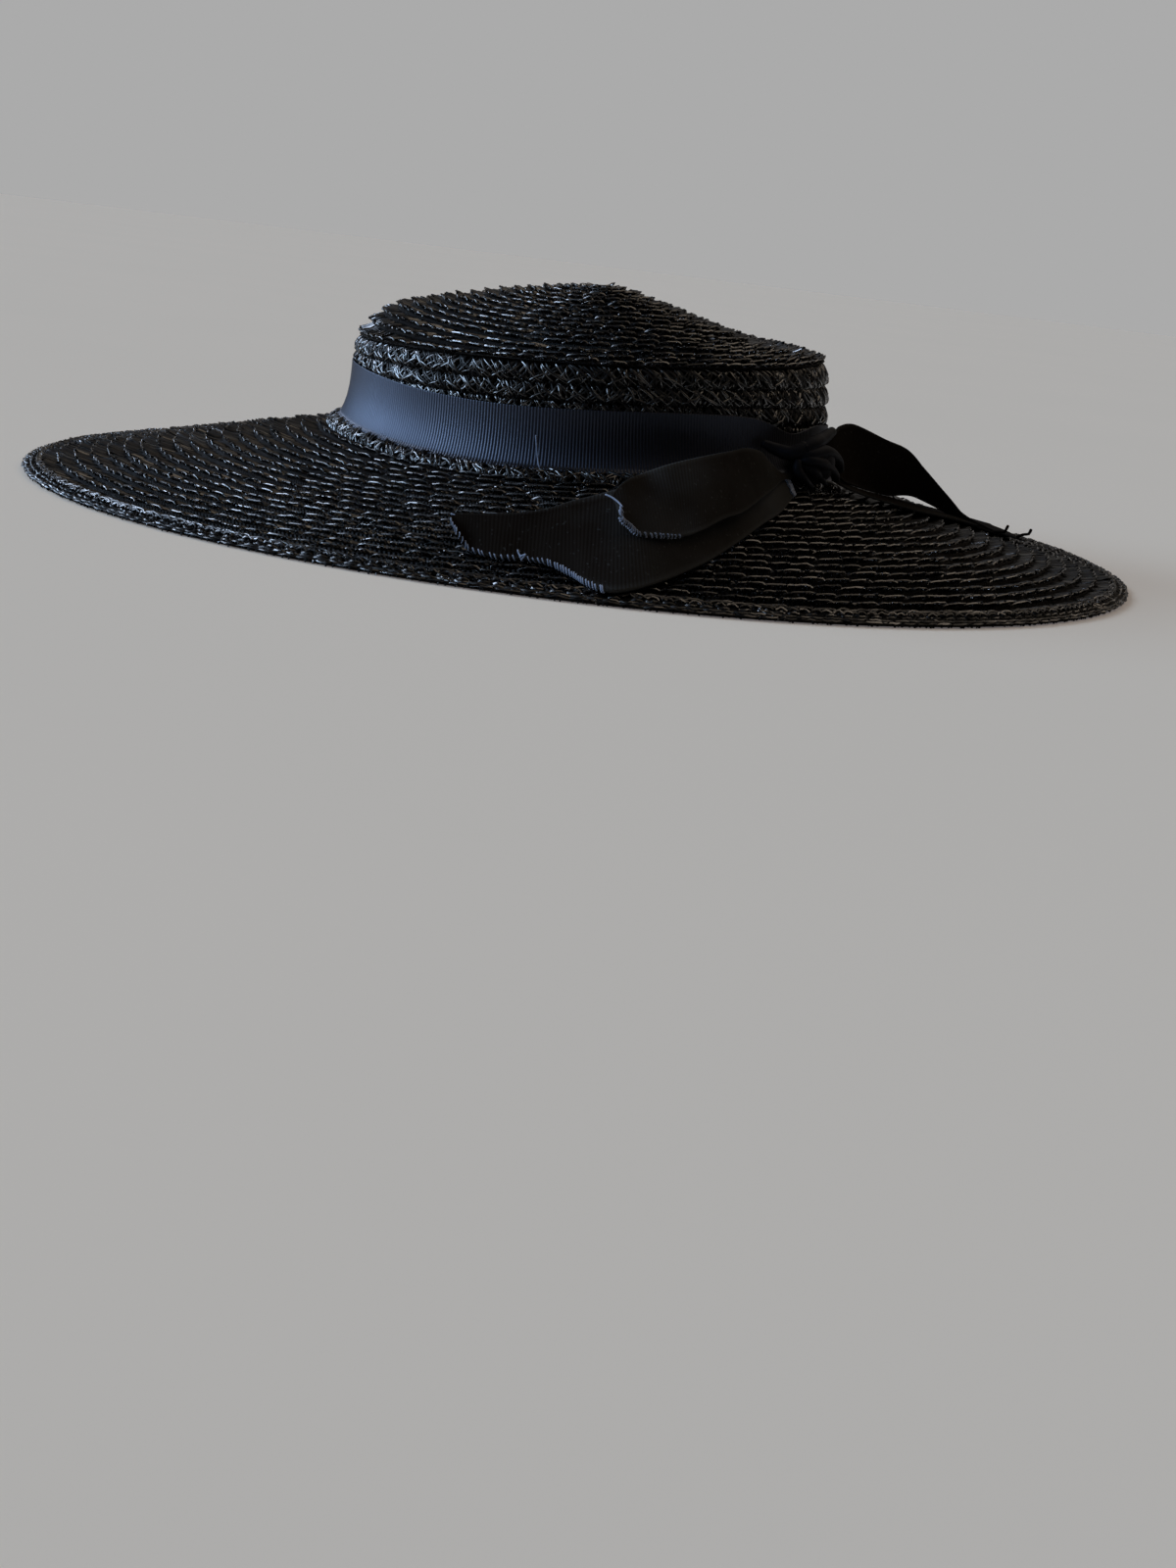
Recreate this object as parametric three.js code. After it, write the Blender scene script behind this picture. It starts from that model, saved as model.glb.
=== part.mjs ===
// A boater hat: brim and crown of coiled straw braid, a ribbon band and a flat knotted bow.
// Millimetres, +Z up. The hat stands on the edge of its brim at z = 0 and the middle of that edge
// is the origin. The wearer looks along -Y, and the wearer's left is +X. Angles start at +X.

import * as THREE from 'three';

// ---------------------------------------------------------------- driving dimensions

const SEGMENTS = 40;              // steps round the hat
const STRAW = 1.8;                // thickness of the sewn braid
const RIBBON = 1.0;               // thickness of the ribbon
const ROW_STEP = 0.9;             // height of the step where one braid row lies on the next
const GAP = 0.3;                  // clearance between pieces that touch

const BRIM_RADIUS = 193;
const BRIM_ROWS = 19;
const BRIM_FOOT_WIDTH = 5;        // flat ring under the edge, on which the hat stands

const CROWN_FOOT = { rx: 83.3, ry: 84.9, cy: 0, z: 24.6 };
const CROWN_EDGE = { rx: 81.2, ry: 81.5, cy: -2.6, z: 60.4, back_rise: 5.0, side_drop: 1.9 };
const CROWN_PEAK = { y: 4.5, z: 81.3 };
const WALL_ROWS = 7;
const TIP_ROWS = 14;
const INNER_RINGS = [0.02, 0.07, 0.15, 0.3, 0.5, 0.75];   // shares of the way in, inside the tip

// The line where the crown meets the brim has gone wavy with wear: lobes round the hat, how high
// each stands, and the angle of its first peak.
const FOOT_WAVES = [
  { lobes: 1, height: 0.5, peak_at: 168 },
  { lobes: 2, height: 0.3, peak_at: 36 },
  { lobes: 3, height: 1.9, peak_at: 35 },
];

// The tip is tented: share of the rise from its edge to its peak, at a share of the way in.
const TIP_RISE = [
  { inset: 0.00, front: 0.00, side: 0.00, back: 0.00 },
  { inset: 0.07, front: 0.31, side: 0.10, back: 0.08 },
  { inset: 0.15, front: 0.45, side: 0.22, back: 0.10 },
  { inset: 0.30, front: 0.58, side: 0.40, back: 0.14 },
  { inset: 0.50, front: 0.74, side: 0.62, back: 0.37 },
  { inset: 0.75, front: 0.91, side: 0.85, back: 0.67 },
  { inset: 1.00, front: 1.00, side: 1.00, back: 1.00 },
];

// The band flares at its lower edge, and is drawn in to part of its height at the knot.
const BAND = { height: 19.5, flare: 2.0, pinch: 0.42, pinch_width: 9 };
const KNOT = {
  angle: 54,
  z: 34.5,
  length: 17,
  half_height: 8.5,
  half_depth: 6,
  pleats: 7,
  pleat: 0.5,
  seat: 1.65,
};

// Half outline of the knot, as shares of its thickness and of its length.
const KNOT_OUTLINE = [
  { thick: 0, along: -0.5 },
  { thick: 0.62, along: -0.5 },
  { thick: 0.9, along: -0.36 },
  { thick: 1, along: -0.12 },
  { thick: 0.94, along: 0.08 },
  { thick: 1, along: 0.28 },
  { thick: 0.8, along: 0.44 },
  { thick: 0.5, along: 0.5 },
  { thick: 0, along: 0.5 },
];

// Ribbon tails, a row for each section from the knot to the cut end. The ribbon's upper and lower
// edge each have a plan position, and a lift above the brim. Crease is how far its middle stands out.
const NEAR_TAIL = [
  { upper: [61.5, 69.4], upper_lift: 13, lower: [62.7, 71], lower_lift: 8.5, crease: 0.0 },
  { upper: [75, 61.5], upper_lift: 13, lower: [80, 64], lower_lift: 6.5, crease: 0.3 },
  { upper: [92, 53.5], upper_lift: 18, lower: [106, 55.5], lower_lift: 8, crease: 0.8 },
  { upper: [105, 47.6], upper_lift: 21, lower: [130, 47.8], lower_lift: 9, crease: 1.0 },
  { upper: [116, 42], upper_lift: 22.5, lower: [142, 41.5], lower_lift: 10.5, crease: 1.5 },
  { upper: [128, 34], upper_lift: 23, lower: [154, 35.5], lower_lift: 10.5, crease: 1.5 },
  { upper: [138, 24], upper_lift: 22, lower: [166, 29], lower_lift: 11, crease: 1.5 },
  { upper: [145, 17.5], upper_lift: 21, lower: [170, 22.5], lower_lift: 11.5, crease: 1.0 },
  { upper: [150, 12.5], upper_lift: 20, lower: [171.5, 17], lower_lift: 12, crease: 0.5 },
  { upper: [165, 8.5], upper_lift: 19, lower: [168, 11], lower_lift: 14, crease: 0.0 },
];
const LONG_TAIL = [
  { upper: [61.6, 69.4], upper_lift: 7, lower: [63, 71.4], lower_lift: 3.8, crease: 0.0 },
  { upper: [78, 56.5], upper_lift: 6, lower: [90.5, 63], lower_lift: 1.4, crease: 0.3 },
  { upper: [90, 49.5], upper_lift: 10, lower: [106.5, 56.5], lower_lift: 1.2, crease: 0.6 },
  { upper: [103, 43], upper_lift: 13, lower: [127, 48.5], lower_lift: 1.2, crease: 0.8 },
  { upper: [120, 36], upper_lift: 16, lower: [147, 39.5], lower_lift: 1.2, crease: 0.8 },
  { upper: [131, 29.5], upper_lift: 17.5, lower: [159, 33.5], lower_lift: 1.2, crease: 0.8 },
  { upper: [144, 20], upper_lift: 17, lower: [172.5, 24.5], lower_lift: 1.2, crease: 0.8 },
  { upper: [155, 8], upper_lift: 16.5, lower: [183.5, 13.5], lower_lift: 1.2, crease: 0.8 },
  { upper: [160, -8], upper_lift: 13.5, lower: [178.5, 0], lower_lift: 2.2, crease: 0.5 },
  { upper: [158, -22], upper_lift: 10.5, lower: [171, -13], lower_lift: 2.5, crease: 0.5 },
  { upper: [155, -35], upper_lift: 7.5, lower: [166, -30], lower_lift: 3.0, crease: 0.0 },
];
const BACK_TAIL = [
  { upper: [46.8, 81], upper_lift: 19, lower: [49, 83.2], lower_lift: 9.5, crease: 0.0 },
  { upper: [36, 85], upper_lift: 22, lower: [38, 89], lower_lift: 6, crease: -0.5 },
  { upper: [24, 90], upper_lift: 23, lower: [20, 94], lower_lift: 5, crease: -0.5 },
  { upper: [15, 103], upper_lift: 22, lower: [8, 106], lower_lift: 5, crease: -0.5 },
  { upper: [8, 112.5], upper_lift: 20, lower: [-2, 116], lower_lift: 5, crease: 0.0 },
  { upper: [-6, 127], upper_lift: 12, lower: [-14, 130], lower_lift: 4.5, crease: 0.0 },
  { upper: [-18, 140], upper_lift: 6.5, lower: [-22, 144], lower_lift: 4, crease: 0.0 },
];
const UNDER_TAIL = [
  { upper: [46.9, 80.9], upper_lift: 8, lower: [48.4, 82.5], lower_lift: 5, crease: 0.0 },
  { upper: [28, 91], upper_lift: 2.6, lower: [38, 93], lower_lift: 2.4, crease: 0.0 },
  { upper: [2, 109], upper_lift: 1.2, lower: [22, 114], lower_lift: 1.2, crease: 0.4 },
  { upper: [-20, 130], upper_lift: 1.2, lower: [2, 136], lower_lift: 1.2, crease: 0.4 },
  { upper: [-40, 151], upper_lift: 1.2, lower: [-18, 159], lower_lift: 1.2, crease: 0.0 },
];

// ---------------------------------------------------------------- the hat's surfaces

const radians = THREE.MathUtils.degToRad;
const mix = THREE.MathUtils.lerp;

function footHeight(angle) {
  let z = CROWN_FOOT.z;
  for (const wave of FOOT_WAVES) {
    z += wave.height * Math.cos(wave.lobes * (angle - radians(wave.peak_at)));
  }
  return z;
}

function crownFoot(angle, inset = 0) {
  const { rx, ry, cy } = CROWN_FOOT;
  return new THREE.Vector3(
    (rx - inset) * Math.cos(angle),
    cy + (ry - inset) * Math.sin(angle),
    footHeight(angle),
  );
}

function crownEdge(angle) {
  const { rx, ry, cy, z, back_rise, side_drop } = CROWN_EDGE;
  return new THREE.Vector3(
    rx * Math.cos(angle),
    cy + ry * Math.sin(angle),
    z + back_rise * Math.sin(angle) - side_drop * Math.cos(angle),
  );
}

// Top of the brim under its braid steps, as a cone between the crown's foot and the edge.
function brimHeight(x, y) {
  const angle = Math.atan2(y, x);
  const foot = crownFoot(angle);
  const inner = Math.hypot(foot.x, foot.y);
  const share = THREE.MathUtils.clamp((Math.hypot(x, y) - inner) / (BRIM_RADIUS - inner), 0, 1);
  return mix(foot.z - GAP, STRAW, share);
}

function tipRise(inset, angle) {
  let i = 1;
  while (i < TIP_RISE.length - 1 && TIP_RISE[i].inset < inset) i += 1;
  const low = TIP_RISE[i - 1];
  const high = TIP_RISE[i];
  const share = (inset - low.inset) / (high.inset - low.inset);
  const front = Math.max(0, -Math.sin(angle)) ** 2;
  const back = Math.max(0, Math.sin(angle)) ** 2;
  const at = (column) => mix(low[column], high[column], share);
  return front * at('front') + back * at('back') + (1 - front - back) * at('side');
}

function tipPoint(inset, angle) {
  const edge = crownEdge(angle);
  return new THREE.Vector3(
    mix(edge.x, 0, inset),
    mix(edge.y, CROWN_PEAK.y, inset),
    mix(edge.z, CROWN_PEAK.z, tipRise(inset, angle)),
  );
}

function wallPoint(share, angle) {
  return crownFoot(angle).lerp(crownEdge(angle), share);
}

// ---------------------------------------------------------------- making closed bodies

function body(points, faces) {
  const geometry = new THREE.BufferGeometry();
  geometry.setAttribute('position', new THREE.Float32BufferAttribute(points.flatMap((p) => p.toArray()), 3));
  geometry.setIndex(faces.flat());
  geometry.computeVertexNormals();
  return geometry;
}

// A profile swept round the hat. outline(angle) gives its points, outer side first from the top
// down. An open profile starts and ends on a point that is the same at every angle.
function sweepRound(outline, closed) {
  const points = [];
  const faces = [];
  const rings = outline(0).length;
  const pole = (ring) => !closed && (ring === 0 || ring === rings - 1);
  const index = [];
  for (let ring = 0; ring < rings; ring += 1) index.push([]);
  for (let step = 0; step < SEGMENTS; step += 1) {
    const profile = outline((2 * Math.PI * step) / SEGMENTS);
    profile.forEach((point, ring) => {
      if (pole(ring) && step > 0) {
        index[ring].push(index[ring][0]);
      } else {
        index[ring].push(points.length);
        points.push(point);
      }
    });
  }
  for (let ring = 0; ring < (closed ? rings : rings - 1); ring += 1) {
    const next = (ring + 1) % rings;
    for (let step = 0; step < SEGMENTS; step += 1) {
      const ahead = (step + 1) % SEGMENTS;
      if (!pole(next)) faces.push([index[ring][step], index[next][step], index[next][ahead]]);
      if (!pole(ring)) faces.push([index[ring][step], index[next][ahead], index[ring][ahead]]);
    }
  }
  return body(points, faces);
}

// A strip of ribbon between an upper and a lower edge, with its middle creased outwards.
function ribbonStrip(sections) {
  const across = 4;
  const sheet = sections.map(({ upper, upper_lift, lower, lower_lift, crease }) => {
    const top = new THREE.Vector3(...upper, brimHeight(...upper) + upper_lift);
    const foot = new THREE.Vector3(...lower, brimHeight(...lower) + lower_lift);
    const line = [];
    for (let i = 0; i <= across; i += 1) {
      const share = i / across;
      const point = top.clone().lerp(foot, share);
      point.z += crease * (1 - Math.abs(2 * share - 1));
      line.push(point);
    }
    return line;
  });
  const last = sheet.length - 1;
  const normalAt = (row, column) => {
    const along = sheet[Math.min(row + 1, last)][column].clone().sub(sheet[Math.max(row - 1, 0)][column]);
    const side = sheet[row][Math.min(column + 1, across)].clone().sub(sheet[row][Math.max(column - 1, 0)]);
    return along.cross(side).normalize();
  };
  const points = [];
  for (const side of [0.5, -0.5]) {
    sheet.forEach((line, row) => {
      line.forEach((point, column) => {
        points.push(point.clone().addScaledVector(normalAt(row, column), side * RIBBON));
      });
    });
  }
  const columns = across + 1;
  const half = sheet.length * columns;
  const face = (row, column) => row * columns + column;
  const back = (row, column) => face(row, column) + half;
  const faces = [];
  const quad = (a, b, c, d) => faces.push([a, b, c], [a, c, d]);
  for (let row = 0; row < last; row += 1) {
    for (let column = 0; column < across; column += 1) {
      quad(face(row, column), face(row + 1, column), face(row + 1, column + 1), face(row, column + 1));
      quad(back(row, column), back(row, column + 1), back(row + 1, column + 1), back(row + 1, column));
    }
    quad(face(row, 0), back(row, 0), back(row + 1, 0), face(row + 1, 0));
    quad(face(row, across), face(row + 1, across), back(row + 1, across), back(row, across));
  }
  for (let column = 0; column < across; column += 1) {
    quad(face(0, column), face(0, column + 1), back(0, column + 1), back(0, column));
    quad(face(last, column), back(last, column), back(last, column + 1), face(last, column + 1));
  }
  return body(points, faces);
}

// ---------------------------------------------------------------- the pieces

function brim() {
  return sweepRound((angle) => {
    const foot = crownFoot(angle, STRAW);
    const inner = Math.hypot(foot.x, foot.y);
    const along = new THREE.Vector3(Math.cos(angle), Math.sin(angle), 0);
    const heading = new THREE.Vector3(foot.x, foot.y, 0).normalize();
    const at = (share, lift) => {
      const point = heading.clone().lerp(along, share).setLength(mix(inner, BRIM_RADIUS, share));
      point.z = brimHeight(point.x, point.y) + lift;
      return point;
    };
    const profile = [];
    for (let row = 0; row < BRIM_ROWS; row += 1) {
      profile.push(at(row / BRIM_ROWS, row === 0 ? 0 : -ROW_STEP));
      profile.push(at((row + 1) / BRIM_ROWS, row === BRIM_ROWS - 1 ? -ROW_STEP : 0));
    }
    const foot_share = BRIM_FOOT_WIDTH / (BRIM_RADIUS - inner);
    const edge = at(1, 0);
    const heel = at(1 - foot_share, 0);
    profile.push(new THREE.Vector3(edge.x, edge.y, 0));
    profile.push(new THREE.Vector3(heel.x, heel.y, 0));
    profile.push(at(0.5, -ROW_STEP - STRAW));
    profile.push(at(0, -ROW_STEP - STRAW));
    return profile;
  }, true);
}

function crown() {
  return sweepRound((angle) => {
    const outward = new THREE.Vector3(Math.cos(angle), Math.sin(angle), 0);
    const up = new THREE.Vector3(0, 0, 1);
    const profile = [tipPoint(1, angle)];
    for (let row = TIP_ROWS - 1; row >= 0; row -= 1) {
      profile.push(tipPoint(row / TIP_ROWS, angle));
      if (row > 0) profile.push(tipPoint(row / TIP_ROWS, angle).addScaledVector(up, -ROW_STEP));
    }
    for (let row = WALL_ROWS - 1; row >= 0; row -= 1) {
      profile.push(wallPoint((row + 1) / WALL_ROWS, angle).addScaledVector(outward, -ROW_STEP));
      profile.push(wallPoint(row / WALL_ROWS, angle));
    }
    const wall = STRAW + ROW_STEP;
    profile.push(wallPoint(0, angle).addScaledVector(outward, -STRAW));
    profile.push(wallPoint(0.5, angle).addScaledVector(outward, -wall));
    for (const inset of INNER_RINGS) {
      profile.push(tipPoint(inset, angle).addScaledVector(up, -wall).addScaledVector(outward, -STRAW / 2));
    }
    profile.push(new THREE.Vector3(0, CROWN_PEAK.y, CROWN_PEAK.z - wall));
    return profile;
  }, false);
}

// The ribbon round the foot of the crown, drawn together where it runs into the knot.
function hatband() {
  return sweepRound((angle) => {
    const outward = new THREE.Vector3(Math.cos(angle), Math.sin(angle), 0);
    const away = (angle - radians(KNOT.angle)) / radians(BAND.pinch_width);
    const pinch = BAND.pinch * Math.exp(-away * away);
    const lowest = wallPoint(0, angle).z + GAP;
    const middle = lowest + BAND.height / 2;
    const edgePoint = (share, depth) => {
      const flare = BAND.flare * (1 - THREE.MathUtils.smoothstep(share, 0, 1));
      const point = crownFoot(angle).addScaledVector(outward, depth + flare);
      point.z = middle + (share - 0.5) * BAND.height * (1 - pinch);
      return point;
    };
    return [
      edgePoint(1, RIBBON),
      edgePoint(0.5, RIBBON),
      edgePoint(0, RIBBON),
      edgePoint(0, 0),
      edgePoint(0.5, 0),
      edgePoint(1, 0),
    ];
  }, true);
}

// The knot: a short gathered barrel, its axis along the band.
function bowKnot() {
  const profile = KNOT_OUTLINE.map(({ thick, along }) => new THREE.Vector2(thick, along));
  const geometry = new THREE.LatheGeometry(profile, 4 * KNOT.pleats);
  const position = geometry.attributes.position;
  for (let i = 0; i < position.count; i += 1) {
    const turn = Math.atan2(position.getZ(i), position.getX(i));
    const radius = Math.hypot(position.getX(i), position.getZ(i));
    const pleated = radius * (1 + (KNOT.pleat / KNOT.half_height) * Math.cos(KNOT.pleats * turn));
    position.setXYZ(
      i,
      pleated * Math.cos(turn) * KNOT.half_depth,
      position.getY(i) * KNOT.length,
      pleated * Math.sin(turn) * KNOT.half_height,
    );
  }
  const angle = radians(KNOT.angle);
  const foot = crownFoot(angle);
  const reach = Math.hypot(foot.x, foot.y) + RIBBON + KNOT.half_depth + KNOT.seat;
  geometry.rotateZ(angle);
  geometry.translate(reach * Math.cos(angle), reach * Math.sin(angle), KNOT.z);
  return geometry;
}

// ---------------------------------------------------------------- the hat

const straw = () => new THREE.MeshStandardMaterial({ color: 0x15161a, roughness: 0.4, metalness: 0 });
const ribbon = () => new THREE.MeshStandardMaterial({ color: 0x10131c, roughness: 0.7, metalness: 0 });

const hat = new THREE.Group();

function add(name, geometry, material) {
  const mesh = new THREE.Mesh(geometry, material);
  mesh.name = name;
  hat.add(mesh);
}

add('brim', brim(), straw());
add('crown', crown(), straw());
add('hatband', hatband(), ribbon());
add('bow_knot', bowKnot(), ribbon());
add('near_tail', ribbonStrip(NEAR_TAIL), ribbon());
add('long_tail', ribbonStrip(LONG_TAIL), ribbon());
add('back_tail', ribbonStrip(BACK_TAIL), ribbon());
add('under_tail', ribbonStrip(UNDER_TAIL), ribbon());

export default hat;
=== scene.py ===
# %% [markdown]
# # A black straw boater with a ribbon band
# The hat is a long plait of dyed straw, sewn round and round into a shallow crown and a wide
# brim. A grosgrain ribbon goes round the crown and ends in a flat knotted bow.
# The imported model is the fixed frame: it says where each piece is and how large it is. Each
# piece here stands for one of its nodes and adds what a solid can't hold: the straws, the ribs
# of the ribbon and the stitches. All lengths below are millimetres unless a comment says
# otherwise, and one factor turns them into Blender's metres.

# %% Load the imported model
import math

import bmesh
import bpy
import numpy as np
from mathutils import Matrix, Quaternion, Vector


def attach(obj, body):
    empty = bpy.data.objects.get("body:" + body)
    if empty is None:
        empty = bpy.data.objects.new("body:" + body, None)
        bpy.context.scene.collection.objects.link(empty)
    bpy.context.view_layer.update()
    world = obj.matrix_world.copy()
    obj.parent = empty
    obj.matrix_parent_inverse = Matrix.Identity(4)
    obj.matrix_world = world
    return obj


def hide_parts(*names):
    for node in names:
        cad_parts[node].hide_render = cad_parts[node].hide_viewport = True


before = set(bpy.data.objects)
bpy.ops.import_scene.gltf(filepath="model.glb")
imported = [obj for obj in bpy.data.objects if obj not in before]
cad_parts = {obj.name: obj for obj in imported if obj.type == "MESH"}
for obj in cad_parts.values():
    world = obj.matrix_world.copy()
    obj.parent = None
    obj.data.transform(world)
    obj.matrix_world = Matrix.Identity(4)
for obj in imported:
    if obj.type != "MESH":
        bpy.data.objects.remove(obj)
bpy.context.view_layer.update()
MM = 0.001
print("nodes:", sorted(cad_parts))

# %% [markdown]
# ## Camera
# A hat is mostly seen a little from above. The camera stands at the wearer's left, low over
# the floor, and is rolled by a few degrees, because a hat that is worn tips forward while this
# one lies flat. A long lens keeps the far side of the brim from shrinking.

# %% Place the camera
CAMERA_PLACE = Vector((0.77225, 0.0, 0.09467))      # metres
CAMERA_AIM = Vector((0.0175, 0.0143, -0.0937))
CAMERA_ROLL = math.radians(6.96)
LENS = 66.0
SENSOR = 36.0

camera = bpy.data.objects.new("camera", bpy.data.cameras.new("camera"))
bpy.context.scene.collection.objects.link(camera)
camera.data.sensor_fit = "HORIZONTAL"
camera.data.sensor_width = SENSOR
camera.data.lens = LENS
camera.data.clip_start = 0.02
camera.data.clip_end = 60.0
backwards = CAMERA_PLACE - CAMERA_AIM
facing = backwards.to_track_quat("Z", "Y") @ Quaternion((0, 0, 1), CAMERA_ROLL)
camera.matrix_world = Matrix.LocRotScale(CAMERA_PLACE, facing, None)
bpy.context.scene.camera = camera
down = math.degrees(math.asin(backwards.normalized().z))
print("camera looks down by", round(down, 1), "degrees")

# %% [markdown]
# ## Small helpers
# Colours are written as sRGB hex values, as they are picked from a sample, and one function
# turns them into the linear values that shaders want. One function adds a node with its
# settings and links, and one turns arrays of points and faces into a piece that rides on the
# frame and names the node that it stands for.

# %% Colours and nodes


def linear(hex_colour):
    """An sRGB hex colour as a linear RGBA tuple."""
    parts = [int(hex_colour[i : i + 2], 16) / 255 for i in (0, 2, 4)]
    return (*(c / 12.92 if c <= 0.04045 else ((c + 0.055) / 1.055) ** 2.4 for c in parts), 1.0)


def scale_of(size_mm):
    """The scale of a texture whose pattern has about this size."""
    return 1 / (size_mm * MM)


def add_node(tree, kind, sockets=None, stops=(), **settings):
    """Adds a node. A socket takes a value, an output, or a node, for its first output.

    stops are the places and colours of a colour ramp, from low to high.
    """
    node = tree.nodes.new("ShaderNode" + kind)
    for name, value in settings.items():
        setattr(node, name, value)
    for socket, value in (sockets or {}).items():
        if isinstance(value, bpy.types.Node):
            value = value.outputs[0]
        if isinstance(value, bpy.types.NodeSocket):
            tree.links.new(value, node.inputs[socket])
        else:
            node.inputs[socket].default_value = value
    for number, (place, colour) in enumerate(stops):
        elements = node.color_ramp.elements
        element = elements[number] if number < 2 else elements.new(place)
        element.position = place
        element.color = linear(colour)
    return node


def new_material(name):
    """An empty node material, its tree, and the object's own space for its textures."""
    material = bpy.data.materials.new(name)
    material.use_nodes = True
    tree = material.node_tree
    tree.nodes.clear()
    return material, tree, add_node(tree, "TexCoord").outputs["Object"]


# %% Meshes


def mesh_object(name, points, faces, material, smooth=True):
    """A mesh from points in millimetres and lists of point numbers."""
    data = bpy.data.meshes.new(name)
    data.from_pydata((np.asarray(points) * MM).tolist(), [], [list(f) for f in faces])
    data.materials.append(material)
    data.polygons.foreach_set("use_smooth", [smooth] * len(data.polygons))
    data.update()
    thing = bpy.data.objects.new(name, data)
    bpy.context.scene.collection.objects.link(thing)
    return thing


def give_attribute(thing, name, values):
    """One number for each point, for the material to read."""
    attribute = thing.data.attributes.new(name, "FLOAT", "POINT")
    attribute.data.foreach_set("value", np.asarray(values, np.float32))


def set_in_frame(thing, slot, *nodes):
    """The piece rides on the frame and stands for its nodes, which it hides. slot is not used."""
    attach(thing, "root")
    if nodes:
        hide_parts(*nodes)
    triangles = sum(len(p.vertices) - 2 for p in thing.data.polygons)
    print(f"{thing.name}: {triangles} triangles")
    return thing


def grid_faces(rows, columns, first=0, closed=False):
    """Quads between rows of points, each row as long as columns."""
    row = np.arange(rows - 1)[:, None] * columns + first
    column = np.arange(columns if closed else columns - 1)[None, :]
    ahead = (column + 1) % columns
    corners = [row + column, row + columns + column, row + columns + ahead, row + ahead]
    return np.stack(corners, -1).reshape(-1, 4).tolist()


# %% [markdown]
# ## Floor and light
# The hat lies on a plain pale floor, in the light of a room: a wide cool window low in front
# of the hat, the sky above it, a weaker window nearer to the eye, a pale wall at the far side,
# and one warm lamp over the back of the brim. Black straw shows by what it mirrors, so where
# the lights stand matters more than how strong they are. Panels of light near the hat could do
# the same. Far lights with a wide angle do it with less noise, and reach every straw alike. The
# room behind looks as pale as the floor but gives almost no light.

# %% Floor
FLOOR_RADIUS = 9000.0
FLOOR_RINGS = (0.05, 0.2, 1.0)      # as shares of the radius
FLOOR_SEGMENTS = 96
FLOOR_LEVEL = -0.25         # the lowest straws reach a little under the brim's plane
MOTTLE_MM = 1000 / 3
PALE = linear("ababab")     # how bright the floor and the room behind it look

floor_material, tree, place = new_material("matt_painted_floor")
# Emulsion paint on board: matt, pale and faintly uneven. A faint glow stands for the light
# that reaches a floor from a whole room.
mottle = add_node(tree, "TexNoise", {"Vector": place, "Scale": scale_of(MOTTLE_MM)})
shade = add_node(tree, "ValToRGB", {"Fac": mottle}, stops=((0, "cfc6b5"), (1, "d3c9b8")))
paint = add_node(
    tree,
    "BsdfPrincipled",
    {
        "Base Color": shade,
        "Roughness": 0.9,
        "IOR": 1.45,
        "Specular IOR Level": 0.1,
        "Emission Color": linear("c7c0c1"),
        "Emission Strength": 0.18,
    },
)
add_node(tree, "OutputMaterial", {"Surface": paint})

turns = np.linspace(0, 2 * np.pi, FLOOR_SEGMENTS, endpoint=False)
floor_points = [
    (share * FLOOR_RADIUS * math.cos(t), share * FLOOR_RADIUS * math.sin(t), FLOOR_LEVEL)
    for share in FLOOR_RINGS
    for t in turns
]
floor_faces = grid_faces(len(FLOOR_RINGS), FLOOR_SEGMENTS, closed=True)
floor_faces += [list(range(FLOOR_SEGMENTS))]
floor = mesh_object("floor", floor_points, floor_faces, floor_material, smooth=False)
print("floor:", len(floor_faces), "faces")

# %% Lamps and room


def add_sun(name, azimuth, height, width, strength, colour):
    """A far light: angles in degrees, width as it is seen from the hat."""
    lamp = bpy.data.lights.new(name, "SUN")
    lamp.energy = strength
    lamp.angle = math.radians(width)
    lamp.color = linear(colour)[:3]
    holder = bpy.data.objects.new(name, lamp)
    bpy.context.scene.collection.objects.link(holder)
    a = math.radians(azimuth)
    h = math.radians(height)
    towards = Vector((math.cos(a) * math.cos(h), math.sin(a) * math.cos(h), math.sin(h)))
    holder.rotation_euler = towards.to_track_quat("Z", "Y").to_euler()


add_sun("window", -90, 15, 36, 2.9, "bfddff")
add_sun("window_top", -126, 36, 24, 1.1, "cfe2ff")
add_sun("second_window", -55, 34, 30, 0.35, "c6e0ff")
add_sun("pale_wall", 180, 20, 100, 0.26, "fbf5f0")
add_sun("lamp_in_the_room", 115, 58, 60, 0.5, "ffe9cf")
add_sun("ceiling", 0, 89, 120, 0.05, "f4f1ee")

bpy.context.scene.view_settings.view_transform = "Standard"
world = bpy.data.worlds.new("room")
bpy.context.scene.world = world
world.use_nodes = True
tree = world.node_tree
tree.nodes.clear()
room_light = add_node(tree, "Background", {"Color": linear("fff0e6"), "Strength": 0.02})
seen_wall = add_node(tree, "Background", {"Color": PALE, "Strength": 1.0})
looked_at = add_node(tree, "LightPath").outputs["Is Camera Ray"]
seen = add_node(tree, "MixShader", {0: looked_at, 1: room_light, 2: seen_wall})
add_node(tree, "OutputWorld", {"Surface": seen})

# %% [markdown]
# ## Straw
# The plait is of split straw, dyed black and stiffened with lacquer. The dye takes unevenly:
# some straws stay brownish, others are a bluish black. The lacquer gives small hard glints
# along each straw, over a duller shine from the fibre below, so the shader has a coat. Each
# straw carries two numbers of its own: tone picks its colour, and polish says how much lacquer
# it has kept. Folds at a row's edge are polished, and most flat straws have gone dull.
# A picture of straw could be laid over the hat, but it would look flat from the side. Here the
# straws are modelled, and the shader adds only dye, lacquer and fine streaks.
# The underside and the inside of the hat are the same braid seen from its back. They are seen
# only by someone who picks the hat up, so there the straws are a bump: fine ribs that cross
# each row, in a count that closes round the hat, and that lean as they run outwards.

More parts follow.
